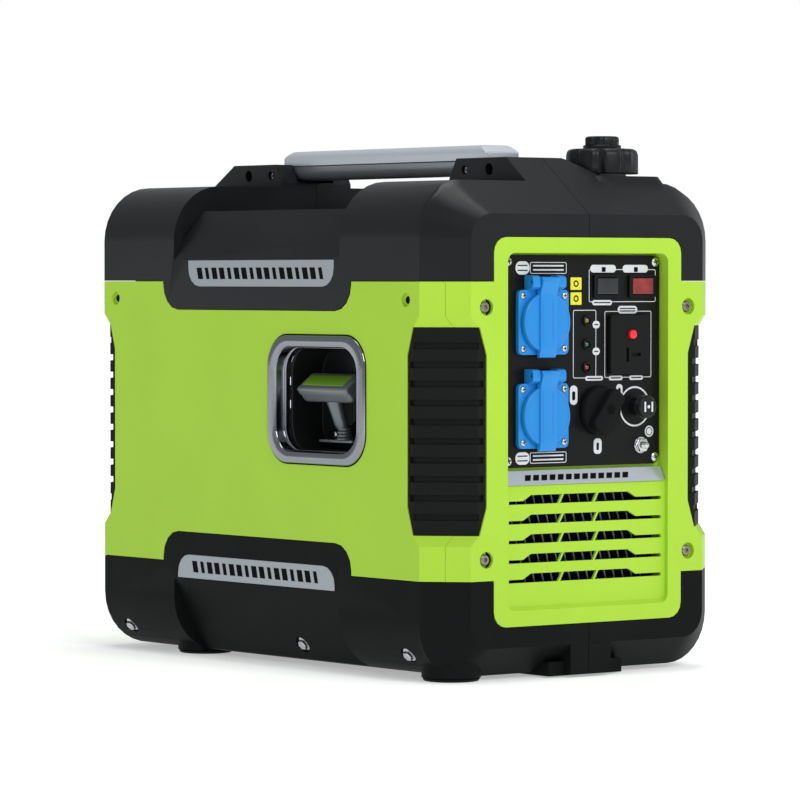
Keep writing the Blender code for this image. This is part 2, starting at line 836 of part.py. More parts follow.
def finish_rear_cover(item):
    """Exhaust louvers, the outlet hole and screw wells."""
    loops = []
    for row in range(9):
        z = 96 * MM + row * 20 * MM
        loops.append(rectangle(-78 * MM, -2 * MM, z, z + 7 * MM))
        if abs(z - 138 * MM) > 30 * MM:
            loops.append(rectangle(6 * MM, 78 * MM, z, z + 7 * MM))
    carve(item, cutter(outline_mesh("rear_louvers", loops, "XZ", 0.2, 0.25)))
    outlet = round_mesh("outlet_hole", "Y", (42 * MM, 138 * MM), 0.2, 0.25, 17 * MM)
    carve(item, cutter(outlet))
    wells = []
    for x in (-102 * MM, 102 * MM):
        for z in (94 * MM, 286.5 * MM):
            wells.append(round_mesh("well", "Y", (x, z), 0.2372, 0.25, 6.5 * MM, segments=14))
    carve(item, cutter(joined_mesh("rear_wells", wells)))


def finish_side_cover(item, side):
    """Screw wells, and the starter window on the left."""
    wells = []
    for y in (-196 * MM, 196 * MM):
        x_low, x_high = sorted((side * (HALF_X - 2.6 * MM), side * (HALF_X + 5 * MM)))
        wells.append(round_mesh("well", "X", (y, 292 * MM), x_low, x_high, 5.5 * MM, segments=12))
    carve(item, cutter(joined_mesh("side_wells", wells)))
    if side < 0:
        outline = window_outline(2.5 * MM)
        carve(item, cutter(outline_mesh("window", [outline], "YZ", -0.15, -0.13)))


def window_outline(inset):
    return rectangle(
        WINDOW_Y[0] + inset,
        WINDOW_Y[1] - inset,
        WINDOW_Z[0] + inset,
        WINDOW_Z[1] - inset,
        max(WINDOW_R - inset, 3 * MM),
    )


def badge_outline(grow, upper):
    """Side badge: one long edge is straight and the other has round corners."""
    if upper:
        straight, round_edge, y_low, y_high = 323 * MM, 302 * MM, -105 * MM, 91 * MM
    else:
        straight, round_edge, y_low, y_high = 65 * MM, 84 * MM, -106 * MM, 106 * MM
    sign = 1 if upper else -1
    return rounded(
        [
            (y_low - grow, straight + sign * grow, 0.5 * MM),
            (y_low - grow, round_edge - sign * grow, 15 * MM),
            (y_high + grow, round_edge - sign * grow, 15 * MM),
            (y_high + grow, straight + sign * grow, 0.5 * MM),
        ],
        4,
    )


def make_badges(covers):
    for upper, name, cover in (
        (True, "badge_upper_left", "top_cover_left"),
        (False, "badge_lower_left", "base_left"),
    ):
        pocket = outline_mesh(
            "pocket_" + name, [badge_outline(0.3 * MM, upper)], "YZ", -0.15, -HALF_X + 1 * MM
        )
        carve(covers[cover], cutter(pocket))
        plate = outline_mesh(
            name,
            [badge_outline(0.0, upper)],
            "YZ",
            -HALF_X - 0.4 * MM,
            -HALF_X + 0.7 * MM,
        )
        part(name, plate, "silver_trim")


def make_grips():
    for name, (sign_x, sign_y) in CORNERS.items():
        mesh = loft_mesh("grip", mirrored(grip_rings(0.0, 0.0), sign_x, sign_y))
        item = part("corner_grip_" + name, mesh, "black_rubber")
        grooves = []
        middle = (GRIP_LOW_Z + GRIP_TOP_Z) / 2
        first = middle - GROOVE_PITCH * (GROOVE_COUNT - 1) / 2
        for row in range(GROOVE_COUNT):
            z = first + row * GROOVE_PITCH - GROOVE_HEIGHT / 2
            short = 4 * MM if row in (0, GROOVE_COUNT - 1) else 0.0
            outline = groove_outline(short)
            outline = [(sign_x * x, sign_y * y) for x, y in outline]
            grooves.append(outline_mesh("groove", [outline], "XY", z, z + GROOVE_HEIGHT))
        carve(item, cutter(joined_mesh("grooves_" + name, grooves)))


def groove_outline(short):
    """Plan of one groove, which follows the bent face of a grip."""
    deep = 2.2 * MM
    x_out = HALF_X - GRIP_SUNK
    y_out = HALF_Y - GRIP_SUNK
    tip_y = GRIP_SUM - x_out
    tip_x = GRIP_SUM - y_out
    skew = deep * math.tan(math.radians(22.5))
    far = 6 * MM
    start_y = GRIP_SIDE_Y + 2.5 * MM + short
    start_x = GRIP_FRONT_X + 2.5 * MM + short
    return [
        (x_out + far, start_y),
        (x_out + far, tip_y + 0.414 * far),
        (tip_x + 0.414 * far, y_out + far),
        (start_x, y_out + far),
        (start_x, y_out - deep),
        (tip_x - skew, y_out - deep),
        (x_out - deep, tip_y - skew),
        (x_out - deep, start_y),
    ]


# Recoil starter


def window_ring(inset_y, inset_z, x):
    outline = rectangle(
        WINDOW_Y[0] + inset_y,
        WINDOW_Y[1] - inset_y,
        WINDOW_Z[0] + inset_z,
        WINDOW_Z[1] - inset_z,
        WINDOW_R - min(inset_y, inset_z) * 0.5,
    )
    return [(x, y, z) for y, z in outline]


def make_starter():
    mm = MM
    rings = [
        window_ring(0.0, 0.0, -HALF_X - 0.3 * mm),
        window_ring(1.2 * mm, 1.2 * mm, -HALF_X - 2.2 * mm),
        window_ring(6 * mm, 4.5 * mm, -HALF_X - 2.2 * mm),
        window_ring(17 * mm, 10.5 * mm, -HALF_X + 9 * mm),
        window_ring(17 * mm, 10.5 * mm, -HALF_X + 11 * mm),
        window_ring(3 * mm, 3 * mm, -HALF_X + 5 * mm),
        window_ring(3 * mm, 3 * mm, -HALF_X - 0.3 * mm),
    ]
    part("recoil_bezel", loft_mesh("bezel", rings, closed=True), "chrome")
    cup = part(
        "recoil_cup",
        loft_mesh(
            "cup",
            [
                window_ring(13.2 * mm, 7 * mm, -HALF_X + 11.8 * mm),
                window_ring(15 * mm, 9 * mm, CUP_BACK_X),
            ],
        ),
        "black_plastic",
    )
    hollow = loft_mesh(
        "cup_hollow",
        [
            window_ring(15.4 * mm, 9.2 * mm, -HALF_X + 5 * mm),
            window_ring(17.2 * mm, 11.2 * mm, CUP_BACK_X - 2.2 * mm),
        ],
    )
    carve(cup, cutter(hollow))
    carve(cup, cutter(round_mesh("rope_hole", "X", (ROPE_Y, ROPE_Z), -0.12, -0.09, 5 * mm)))
    guide = outline_mesh(
        "guide",
        [rectangle(ROPE_Y - 12 * mm, ROPE_Y + 32 * mm, ROPE_Z - 11 * mm, ROPE_Z - 2 * mm, 3 * mm)],
        "YZ",
        CUP_BACK_X - 5.2 * mm,
        CUP_BACK_X - 2.5 * mm,
    )
    item = part("rope_guide", guide, "grey_metal")
    boss = round_mesh("guide_boss", "X", (ROPE_Y, ROPE_Z), -0.118, CUP_BACK_X - 2.6 * mm, 8.5 * mm)
    join(item, cutter(boss))
    carve(item, cutter(round_mesh("guide_hole", "X", (ROPE_Y, ROPE_Z), -0.12, -0.09, 3.4 * mm)))
    bar = outline_mesh(
        "starter_bar",
        [rounded([(-130 * mm, 209 * mm, 3 * mm), (-112.5 * mm, 222.5 * mm, 3 * mm),
                  (-122 * mm, 235 * mm, 2 * mm), (-139.5 * mm, 221.5 * mm, 2 * mm)], 3)],
        "XZ",
        -113 * mm,
        -48 * mm,
    )
    slide = (-119 * mm, ROPE_Y, ROPE_Z)
    handle = part("starter_handle", bar, "aluminium", slide)
    stem = round_mesh("starter_stem", "Z", (-125.5 * mm, ROPE_Y), ROPE_Z, 218 * mm, 6 * mm, 7.5 * mm)
    join(handle, cutter(stem))
    plug = round_mesh("starter_plug", "X", (ROPE_Y, ROPE_Z), -0.131, -0.1185, 6.5 * mm)
    join(handle, cutter(plug))
    rope = bpy.data.curves.new("starter_rope", "CURVE")
    rope.dimensions = "3D"
    rope.bevel_depth = 2.5 * mm
    rope.bevel_resolution = 2
    rope.use_fill_caps = True
    line = rope.splines.new("POLY")
    line.points.add(1)
    line.points[0].co = (-118 * mm, ROPE_Y, ROPE_Z, 1)
    line.points[1].co = (125 * mm, ROPE_Y, ROPE_Z, 1)
    rope.materials.append(bpy.data.materials["rope"])
    bpy.data.collections[PARTS].objects.link(bpy.data.objects.new("starter_rope", rope))


# Control panel


def make_panel():
    plate = rectangle(-78 * MM, 80 * MM, 163 * MM, 326.5 * MM, 6 * MM, 2)
    holes = []
    for z in SOCKET_Z:
        holes.append(rectangle(SOCKET_X - 22 * MM, SOCKET_X + 22 * MM, z - 22 * MM, z + 22 * MM))
    for x, _ in ROCKERS:
        holes.append(rectangle(x - 12 * MM, x + 12 * MM, ROCKER_Z - 7.6 * MM, ROCKER_Z + 7.6 * MM))
    item = part(
        "control_panel",
        outline_mesh("panel", [plate] + holes, "XZ", PANEL_FACE_Y, PANEL_FLOOR_Y - 0.3 * MM),
        "panel_black",
    )
    drills = []
    for _, z in LEDS:
        drills.append(round_mesh("drill", "Y", (LED_X, z), -0.24, -0.22, 2.9 * MM, segments=10))
    for spot, radius in ((BUTTON_AT, 4.6), (KNOB_AT, 5), (CHOKE_AT, 6.6), (GROUND_AT, 3.4)):
        drills.append(round_mesh("drill", "Y", spot, -0.24, -0.22, radius * MM, segments=14))
    carve(item, cutter(joined_mesh("panel_drills", drills)))
    strip = [
        (PANEL_FACE_Y - 0.3 * MM, STRIP_TOP_Z + 0.4 * MM),
        (PANEL_FACE_Y - 1.6 * MM, STRIP_TOP_Z + 0.4 * MM),
        (LOUVER_FACE_Y - 1.3 * MM, STRIP_LOW_Z + 1.2 * MM),
        (LOUVER_FACE_Y - 0.1 * MM, STRIP_LOW_Z + 0.6 * MM),
    ]
    part(
        "panel_trim",
        outline_mesh("trim", [strip], "YZ", -RECESS_X + 1 * MM, RECESS_X - 1 * MM),
        "silver_trim",
    )


def make_sockets():
    for tag, z in zip(("upper", "lower"), SOCKET_Z):
        make_socket_body(tag, z)
        make_socket_lid(tag, z)


def make_socket_body(tag, z):
    """Flange, round plug well and two hinge ears."""
    face = PANEL_FACE_Y - 4 * MM
    flange = rectangle(
        SOCKET_X - FLANGE_HALF, SOCKET_X + FLANGE_HALF, z - FLANGE_HALF, z + FLANGE_HALF, 4 * MM, 3
    )
    item = part(
        "socket_" + tag,
        outline_mesh("flange", [flange], "XZ", face, PANEL_FACE_Y - 0.3 * MM),
        "blue_plastic",
    )
    barrel = rectangle(SOCKET_X - 21.5 * MM, SOCKET_X + 21.5 * MM, z - 21.5 * MM, z + 21.5 * MM)
    join(item, cutter(outline_mesh("socket_back_" + tag, [barrel], "XZ", face + 1 * MM, -0.2125)))
    for side in (-1, 1):
        x_low, x_high = sorted((SOCKET_X + side * 9.2 * MM, SOCKET_X + side * 16.5 * MM))
        outline = rounded(
            [
                (PANEL_FACE_Y - 0.3 * MM, z + 24 * MM, 0),
                (PANEL_FACE_Y - 0.3 * MM, z + HINGE_UP + 5 * MM, 1 * MM),
                (HINGE_Y - 3 * MM, z + HINGE_UP + 5 * MM, 3 * MM),
                (HINGE_Y - 3 * MM, z + HINGE_UP - 4 * MM, 2 * MM),
                (face - 0.8 * MM, z + 24.4 * MM, 0),
            ],
            2,
        )
        join(item, cutter(outline_mesh("ear", [outline], "YZ", x_low, x_high)))
    well = round_mesh("plug_well_" + tag, "Y", (SOCKET_X, z), -0.25, -0.2165, WELL_R)
    carve(item, cutter(well))
    pins = [
        round_mesh("pin_hole", "Y", (SOCKET_X + x, z), -0.22, -0.2145, 2.6 * MM, segments=8)
        for x in (-9.5 * MM, 9.5 * MM)
    ]
    carve(item, cutter(joined_mesh("pin_holes_" + tag, pins)))
    hinge = (HINGE_Y, z + HINGE_UP)
    carve(item, cutter(round_mesh("pin_bore", "X", hinge, -0.062, -0.02, 1.6 * MM, segments=8)))


def make_socket_lid(tag, z):
    """Round lid with a raised band up to its hinge barrel and a finger tab below."""
    back = PANEL_FACE_Y - 4.4 * MM
    front = PANEL_FACE_Y - 12.5 * MM
    disc = round_mesh("lid", "Y", (SOCKET_X, z), front, back, 21.8 * MM, 23.2 * MM, 28)
    item = part("socket_lid_" + tag, disc, "blue_plastic", (SOCKET_X, HINGE_Y, z + HINGE_UP))
    half = 8.3 * MM
    band = [
        (back, z - 21 * MM),
        (back - 1 * MM, z - 27.5 * MM),
        (back - 5 * MM, z - 27.5 * MM),
        (front - 1.5 * MM, z - 19 * MM),
        (front - 1.5 * MM, z + 22 * MM),
        (HINGE_Y - 4.2 * MM, z + HINGE_UP + 1 * MM),
        (HINGE_Y - 2 * MM, z + HINGE_UP + 4.2 * MM),
        (HINGE_Y + 2 * MM, z + HINGE_UP + 4.2 * MM),
        (HINGE_Y + 4 * MM, z + HINGE_UP + 1 * MM),
        (back, z + 24 * MM),
    ]
    outline = outline_mesh("lid_band", [band], "YZ", SOCKET_X - half, SOCKET_X + half)
    join(item, cutter(outline))
    hinge = (HINGE_Y, z + HINGE_UP)
    carve(item, cutter(round_mesh("lid_bore", "X", hinge, -0.062, -0.02, 1.6 * MM, segments=8)))


def make_switches():
    for x, tone in ROCKERS:
        frame = [
            rectangle(x - 13.5 * MM, x + 13.5 * MM, ROCKER_Z - 9 * MM, ROCKER_Z + 9 * MM, 1.5 * MM, 2),
            rectangle(x - 10.2 * MM, x + 10.2 * MM, ROCKER_Z - 6.8 * MM, ROCKER_Z + 6.8 * MM),
        ]
        item = part(
            "rocker_frame_" + tone,
            outline_mesh("frame", frame, "XZ", PANEL_FACE_Y - 2.2 * MM, PANEL_FACE_Y - 0.3 * MM),
            "panel_black",
        )
        body = [
            rectangle(x - 11.6 * MM, x + 11.6 * MM, ROCKER_Z - 7.3 * MM, ROCKER_Z + 7.3 * MM),
            rectangle(x - 10.2 * MM, x + 10.2 * MM, ROCKER_Z - 6.8 * MM, ROCKER_Z + 6.8 * MM),
        ]
        skirt = outline_mesh("frame_body", body, "XZ", PANEL_FACE_Y - 1 * MM, -0.2165)
        join(item, cutter(skirt))
        pivot = Vector((x, PANEL_FACE_Y + 1 * MM, 0))
        turn = Matrix.Rotation(math.radians(-9), 2)
        neutral = [(-9.3, -4.6), (0, -3.2), (9.3, -4.6), (9.3, -2), (5, 5), (-5, 5), (-9.3, -2)]
        outline = []
        for u, v in neutral:
            point = turn @ Vector((u * MM, v * MM))
            outline.append((pivot.x + point.x, pivot.y + point.y))
        key = outline_mesh("key", [outline], "XY", ROCKER_Z - 6.2 * MM, ROCKER_Z + 6.2 * MM)
        finish = "amber_red" if tone == "red" else "panel_black"
        part("rocker_" + tone, key, finish, (x, pivot.y, ROCKER_Z))


def make_lamps():
    profile = [(0, 1.9), (1.3, 1.6), (2.2, 0.8), (2.5, -0.5), (2.5, -9), (0, -9)]
    for tone, z in LEDS:
        points = [(radius * MM, height * MM) for radius, height in profile]
        turned_part("led_" + tone, points, tone + "_lens", OUT_FRONT, (LED_X, PANEL_FACE_Y, z), 10)


def make_dc_outlet():
    low_x, high_x, low_z, high_z = DC_BOX
    outline = rectangle(low_x, high_x, low_z, high_z, 2.5 * MM, 3)
    item = part(
        "dc_outlet",
        outline_mesh("dc", [outline], "XZ", PANEL_FACE_Y - 4.6 * MM, PANEL_FACE_Y - 0.3 * MM),
        "panel_black",
    )
    slots = [
        rectangle(42.3 * MM, 44.9 * MM, 243.5 * MM, 254.5 * MM),
        rectangle(47.5 * MM, 57 * MM, 247.7 * MM, 250.3 * MM),
    ]
    carve(item, cutter(outline_mesh("dc_slots", slots, "XZ", -0.25, -0.2335)))
    carve(item, cutter(round_mesh("button_bore", "Y", BUTTON_AT, -0.25, -0.22, 4.2 * MM, segments=14)))
    profile = [(0, 7.4), (2.8, 7.2), (3.75, 6.2), (3.75, -4), (0, -4)]
    points = [(radius * MM, height * MM) for radius, height in profile]
    place = (BUTTON_AT[0], PANEL_FACE_Y, BUTTON_AT[1])
    turned_part("breaker_button", points, "red_plastic", OUT_FRONT, place, 14)


def make_knobs():
    mm = MM
    knob = turned_part(
        "engine_knob",
        [(0, 7 * mm), (14 * mm, 7 * mm), (18 * mm, 5.5 * mm), (19.6 * mm, 0.5 * mm),
         (4.5 * mm, 0.5 * mm), (4.5 * mm, -9 * mm), (0, -9 * mm)],
        "black_plastic",
        OUT_FRONT,
        (KNOB_AT[0], PANEL_FACE_Y, KNOB_AT[1]),
        24,
    )
    ridge = outline_mesh("ridge", [rectangle(-19 * mm, 19 * mm, -7.5 * mm, 7.5 * mm, 4 * mm, 3)], "XZ",
                         -14.5 * mm, -2 * mm)
    tilt = Matrix.Rotation(math.radians(-52), 4, "Y")
    ridge.transform(Matrix.Translation((KNOB_AT[0], PANEL_FACE_Y, KNOB_AT[1])) @ tilt)
    join(knob, cutter(ridge))
    turned_part(
        "choke_knob",
        [(0, 15.8 * mm), (7.8 * mm, 15.6 * mm), (9 * mm, 14.4 * mm), (9 * mm, 8.5 * mm),
         (6 * mm, 6.5 * mm), (6 * mm, -30 * mm), (0, -30 * mm)],
        "black_plastic",
        OUT_FRONT,
        (CHOKE_AT[0], PANEL_FACE_Y, CHOKE_AT[1]),
    )
    turned_part(
        "ground_terminal",
        [(0, 9 * mm), (2.4 * mm, 8.6 * mm), (2.8 * mm, 5.5 * mm), (5.6 * mm, 5 * mm), (5.6 * mm, 1.8 * mm),
         (6.6 * mm, 1.6 * mm), (6.6 * mm, 0.4 * mm), (2.8 * mm, 0.4 * mm), (2.8 * mm, -8 * mm), (0, -8 * mm)],
        "aluminium",
        OUT_FRONT,
        (GROUND_AT[0], PANEL_FACE_Y, GROUND_AT[1]),
        12,
    )


# Handle, filler cap and feet


def make_handle():
    mm = MM
    upper = outline_mesh(
        "handle_top",
        [rounded([(-HANDLE_HALF_Y, HANDLE_SPLIT_Z, 0), (HANDLE_HALF_Y, HANDLE_SPLIT_Z, 0),
                  (HANDLE_HALF_Y, 408.5 * mm, 2 * mm), (HANDLE_HALF_Y - 9 * mm, HANDLE_TOP_Z, 4 * mm),
                  (-HANDLE_HALF_Y + 9 * mm, HANDLE_TOP_Z, 4 * mm), (-HANDLE_HALF_Y, 408.5 * mm, 2 * mm)], 3)],
        "YZ",
        -HANDLE_HALF_X,
        HANDLE_HALF_X,
    )
    item = part("handle_bar", upper, "aluminium")
    section = rounded([(-HANDLE_HALF_X, 401 * mm, 0), (HANDLE_HALF_X, 401 * mm, 0),
                       (HANDLE_HALF_X, HANDLE_TOP_Z, 6 * mm), (-HANDLE_HALF_X, HANDLE_TOP_Z, 6 * mm)], 4)
    keep(item, cutter(outline_mesh("handle_section", [section], "XZ", -0.16, 0.16)))
    section = rounded([(-15 * mm, HANDLE_LOW_Z, 8 * mm), (15 * mm, HANDLE_LOW_Z, 8 * mm),
                       (16 * mm, HANDLE_SPLIT_Z - 0.3 * mm, 0), (-16 * mm, HANDLE_SPLIT_Z - 0.3 * mm, 0)], 4)
    half = HANDLE_HALF_Y - 3 * mm
    part("handle_grip", outline_mesh("grip_bar", [section], "XZ", -half, half), "handle_grey")


def make_filler():
    mm = MM
    place = (CAP_X, CAP_Y, 0)
    lobes = 8
    outline = []
    for step in range(lobes * LOBE_STEPS):
        angle = 2 * math.pi * step / (lobes * LOBE_STEPS)
        wave = max(0.0, -math.cos(lobes * angle))
        radius = CAP_R - 1.6 * mm * wave
        outline.append((CAP_X + radius * math.cos(angle), CAP_Y + radius * math.sin(angle)))
    cap_mesh = outline_mesh("cap", [outline], "XY", CAP_LOW_Z, CAP_TOP_Z)
    cap = part("fuel_cap", cap_mesh, "black_plastic", (CAP_X, CAP_Y, CAP_LOW_Z))
    dome = round_mesh("cap_dome", "Z", (CAP_X, CAP_Y), CAP_LOW_Z - 1 * mm, CAP_TOP_Z, 33 * mm, 26.5 * mm, 32)
    keep(cap, cutter(dome))
    hollow = round_mesh("cap_hollow", "Z", (CAP_X, CAP_Y), 0.38, 406 * mm, NECK_R + 2.5 * mm)
    carve(cap, cutter(hollow))
    carve(cap, cutter(round_mesh("knob_bore", "Z", (CAP_X, CAP_Y), 0.38, 0.42, 4 * mm, segments=12)))
    turned_part(
        "cap_gasket",
        [(3.4 * mm, 405.6 * mm), (NECK_R + 1.5 * mm, 405.6 * mm), (NECK_R + 1.5 * mm, 402.2 * mm),
         (3.4 * mm, 402.2 * mm), (3.4 * mm, 405.6 * mm)],
        "black_rubber",
        UP,
        place,
    )
    knob = turned_part(
        "vent_knob",
        [(0, KNOB_TOP_Z), (11.5 * mm, KNOB_TOP_Z), (13 * mm, KNOB_TOP_Z - 1.5 * mm),
         (13 * mm, CAP_TOP_Z + 4 * mm), (KNOB_R, CAP_TOP_Z + 3 * mm), (KNOB_R, CAP_TOP_Z + 0.4 * mm),
         (3 * mm, CAP_TOP_Z + 0.4 * mm), (3 * mm, 402.4 * mm), (0, 402.4 * mm)],
        "black_plastic",
        UP,
        place,
    )
    wing = outline_mesh(
        "knob_wing",
        [rectangle(CAP_X - KNOB_R, CAP_X + KNOB_R, CAP_Y - 5 * mm, CAP_Y + 5 * mm, 3 * mm, 2)],
        "XY",
        CAP_TOP_Z + 2 * mm,
        KNOB_TOP_Z - 0.4 * mm,
    )
    join(knob, cutter(wing))
    turned_part(
        "filler_neck",
        [(NECK_R, 401.8 * mm), (NECK_R, 328.4 * mm), (15 * mm, 328.4 * mm), (15 * mm, 401.8 * mm),
         (NECK_R, 401.8 * mm)],
        "cast_metal",
        UP,
        place,
    )


def make_feet():
    mm = MM
    for name, (x, y) in FEET.items():
        turned_part(
            "foot_" + name,
            [(0, FOOT_TOP_Z), (FOOT_R, FOOT_TOP_Z), (FOOT_R, 1.2 * mm), (FOOT_R - 1.2 * mm, 0), (0, 0)],
            "black_rubber",
            UP,
            (x, y, 0),
        )


# Machinery inside


def block(name, low, high, finish, edge=3 * MM):
    item = part(name, box_mesh(name, [v * MM for v in low], [v * MM for v in high]), finish)
    return soften(item, edge)


def fins(item, name, low, high, count, axis):
    """Cuts evenly spaced grooves across a block."""
    grooves = []
    span = (high[axis] - low[axis]) / (2 * count + 1)
    for i in range(count):
        first = list(low)
        last = list(high)
        first[axis] = low[axis] + span * (2 * i + 1)
        last[axis] = first[axis] + span
        grooves.append(box_mesh("groove", [v * MM for v in first], [v * MM for v in last]))
    carve(item, cutter(joined_mesh(name, grooves)))


def make_engine():
    mm = MM
    crank = (CRANK_Y, CRANK_Z)
    case = block("crankcase", (-40, -5, 10.4), (75, 125, 150), "cast_metal", 8 * mm)
    carve(case, cutter(round_mesh("crank_bore", "X", crank, -0.045, 0.05, 13 * mm)))
    barrel = block("cylinder", (-15, 20, 150.4), (60, 100, 256), "cast_metal", 4 * mm)
    fins(barrel, "barrel_fins", (-30, 5, 160), (75, 34, 250), 7, 2)
    turned_part(
        "crankshaft",
        [(0, 108 * mm), (9 * mm, 108 * mm), (9 * mm, -40 * mm), (0, -40 * mm)],
        "grey_metal",
        OUT_LEFT,
        (0, CRANK_Y, CRANK_Z),
    )
    turned_part(
        "flywheel_fan",
        [(9.4 * mm, 90 * mm), (28 * mm, 90 * mm), (32 * mm, 87 * mm), (54 * mm, 86 * mm), (54 * mm, 66 * mm),
         (46 * mm, 66 * mm), (46 * mm, 78 * mm), (9.4 * mm, 78 * mm), (9.4 * mm, 90 * mm)],
        "cast_metal",
        OUT_LEFT,
        (0, CRANK_Y, CRANK_Z),
    )
    turned_part(
        "stator",
        [(15 * mm, 74 * mm), (42 * mm, 74 * mm), (42 * mm, 44 * mm), (15 * mm, 44 * mm), (15 * mm, 74 * mm)],
        "grey_metal",
        OUT_LEFT,
        (0, CRANK_Y, CRANK_Z),
    )
    turned_part(
        "recoil_pulley",
        [(0, 119 * mm), (44 * mm, 119 * mm), (40 * mm, 116 * mm), (44 * mm, 112 * mm), (0, 112 * mm)],
        "black_plastic",
        OUT_LEFT,
        (0, CRANK_Y, CRANK_Z),
    )
    turned_part(
        "recoil_housing",
        [(0, 127 * mm), (58 * mm, 127 * mm), (62 * mm, 123 * mm), (62 * mm, 96 * mm), (59 * mm, 96 * mm),
         (59 * mm, 122.5 * mm), (0, 122.5 * mm)],
        "black_plastic",
        OUT_LEFT,
        (0, CRANK_Y, CRANK_Z),
    )
    muffler = block("muffler", (-65, 140, 70), (75, 215, 190), "exhaust_metal", 16 * mm)
    pipe = round_mesh("tail_pipe", "Y", (42 * mm, 138 * mm), 0.2, 0.244, 13 * mm)
    join(muffler, cutter(pipe))
    carve(muffler, cutter(round_mesh("pipe_bore", "Y", (42 * mm, 138 * mm), 0.212, 0.25, 11 * mm)))
    block("carburetor", (62, 40, 165), (96, 84, 205), "cast_metal")
    block("air_filter_box", (98, -20, 130), (136, 95, 240), "black_plastic", 6 * mm)
    module = block("inverter_module", (-105, -200, 30), (105, -140, 140), "cast_metal")
    fins(module, "module_fins", (-100, -210, 20), (100, -170, 150), 12, 0)
    tank = block("fuel_tank", (-15, -205, 264), (130, 108, 328), "tank_plastic", 4 * mm)
    inside = box_mesh("tank_hollow", (-11.5 * mm, -201 * mm, 268 * mm), (126 * mm, 104 * mm, 324 * mm))
    carve(tank, cutter(inside))
    carve(tank, cutter(round_mesh("tank_mouth", "Z", (CAP_X, CAP_Y), 0.32, 0.34, 14 * mm)))


def make_baffle():
    """Fins behind the front louvers."""
    low = (-80, -222, 62)
    high = (80, -214, 156)
    item = block("louver_baffle", low, high, "panel_black", 1 * MM)
    fins(item, "baffle_fins", (-76, -225, 66), (76, -217, 152), 14, 0)


def main():
    clear_scene()
    make_collections()
    make_materials()
    covers = split_covers(casing_shell())
    finish_front_cover(covers["front_cover"])
    finish_rear_cover(covers["rear_cover"])
    finish_side_cover(covers["side_cover_left"], -1)
    finish_side_cover(covers["side_cover_right"], 1)
    make_badges(covers)
    make_grips()
    make_starter()
    make_panel()
    make_sockets()
    make_switches()
    make_lamps()
    make_dc_outlet()
    make_knobs()
    make_handle()
    make_filler()
    make_feet()
    make_engine()
    make_baffle()


main()
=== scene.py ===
"""Looks of the inverter generator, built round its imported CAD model. Metres, +Z up, panel facing -Y."""
import json
import math

import bmesh
import bpy
from mathutils import Matrix, Vector


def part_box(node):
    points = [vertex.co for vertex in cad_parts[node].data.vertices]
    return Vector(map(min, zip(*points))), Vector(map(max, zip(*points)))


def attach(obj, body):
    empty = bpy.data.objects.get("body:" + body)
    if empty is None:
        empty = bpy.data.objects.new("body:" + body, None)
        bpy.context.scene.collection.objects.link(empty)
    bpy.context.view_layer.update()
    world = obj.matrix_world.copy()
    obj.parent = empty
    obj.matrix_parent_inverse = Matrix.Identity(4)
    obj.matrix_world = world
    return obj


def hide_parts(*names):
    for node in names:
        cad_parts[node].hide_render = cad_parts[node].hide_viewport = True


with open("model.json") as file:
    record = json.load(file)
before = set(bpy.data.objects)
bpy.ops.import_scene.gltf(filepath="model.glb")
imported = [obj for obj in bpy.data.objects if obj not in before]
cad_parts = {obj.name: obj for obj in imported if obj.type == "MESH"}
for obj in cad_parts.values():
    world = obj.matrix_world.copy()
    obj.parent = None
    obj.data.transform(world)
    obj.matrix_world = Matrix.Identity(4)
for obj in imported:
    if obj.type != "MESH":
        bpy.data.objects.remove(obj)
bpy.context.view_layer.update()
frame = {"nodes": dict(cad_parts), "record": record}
NODES = frame["nodes"]
MM = 0.001
ROOT = "casing"
MERGE_DISTANCE = 0.001 * MM
SMOOTH_ANGLE = math.radians(35)
EDGE_ANGLE = math.radians(30)
FLAT_ANGLE = math.radians(0.6)
WELD_DISTANCE = 0.02 * MM
SHELL_STEPS = 3
PLAIN_EDGE = 0.3
COAT_ROUGHNESS = 0.12
TONE_SCALE = 14.0
GLOSS_SHARE = 0.2
GRAIN_DEPTH = 0.2 * MM

# ---------------------------------------------------------------- materials


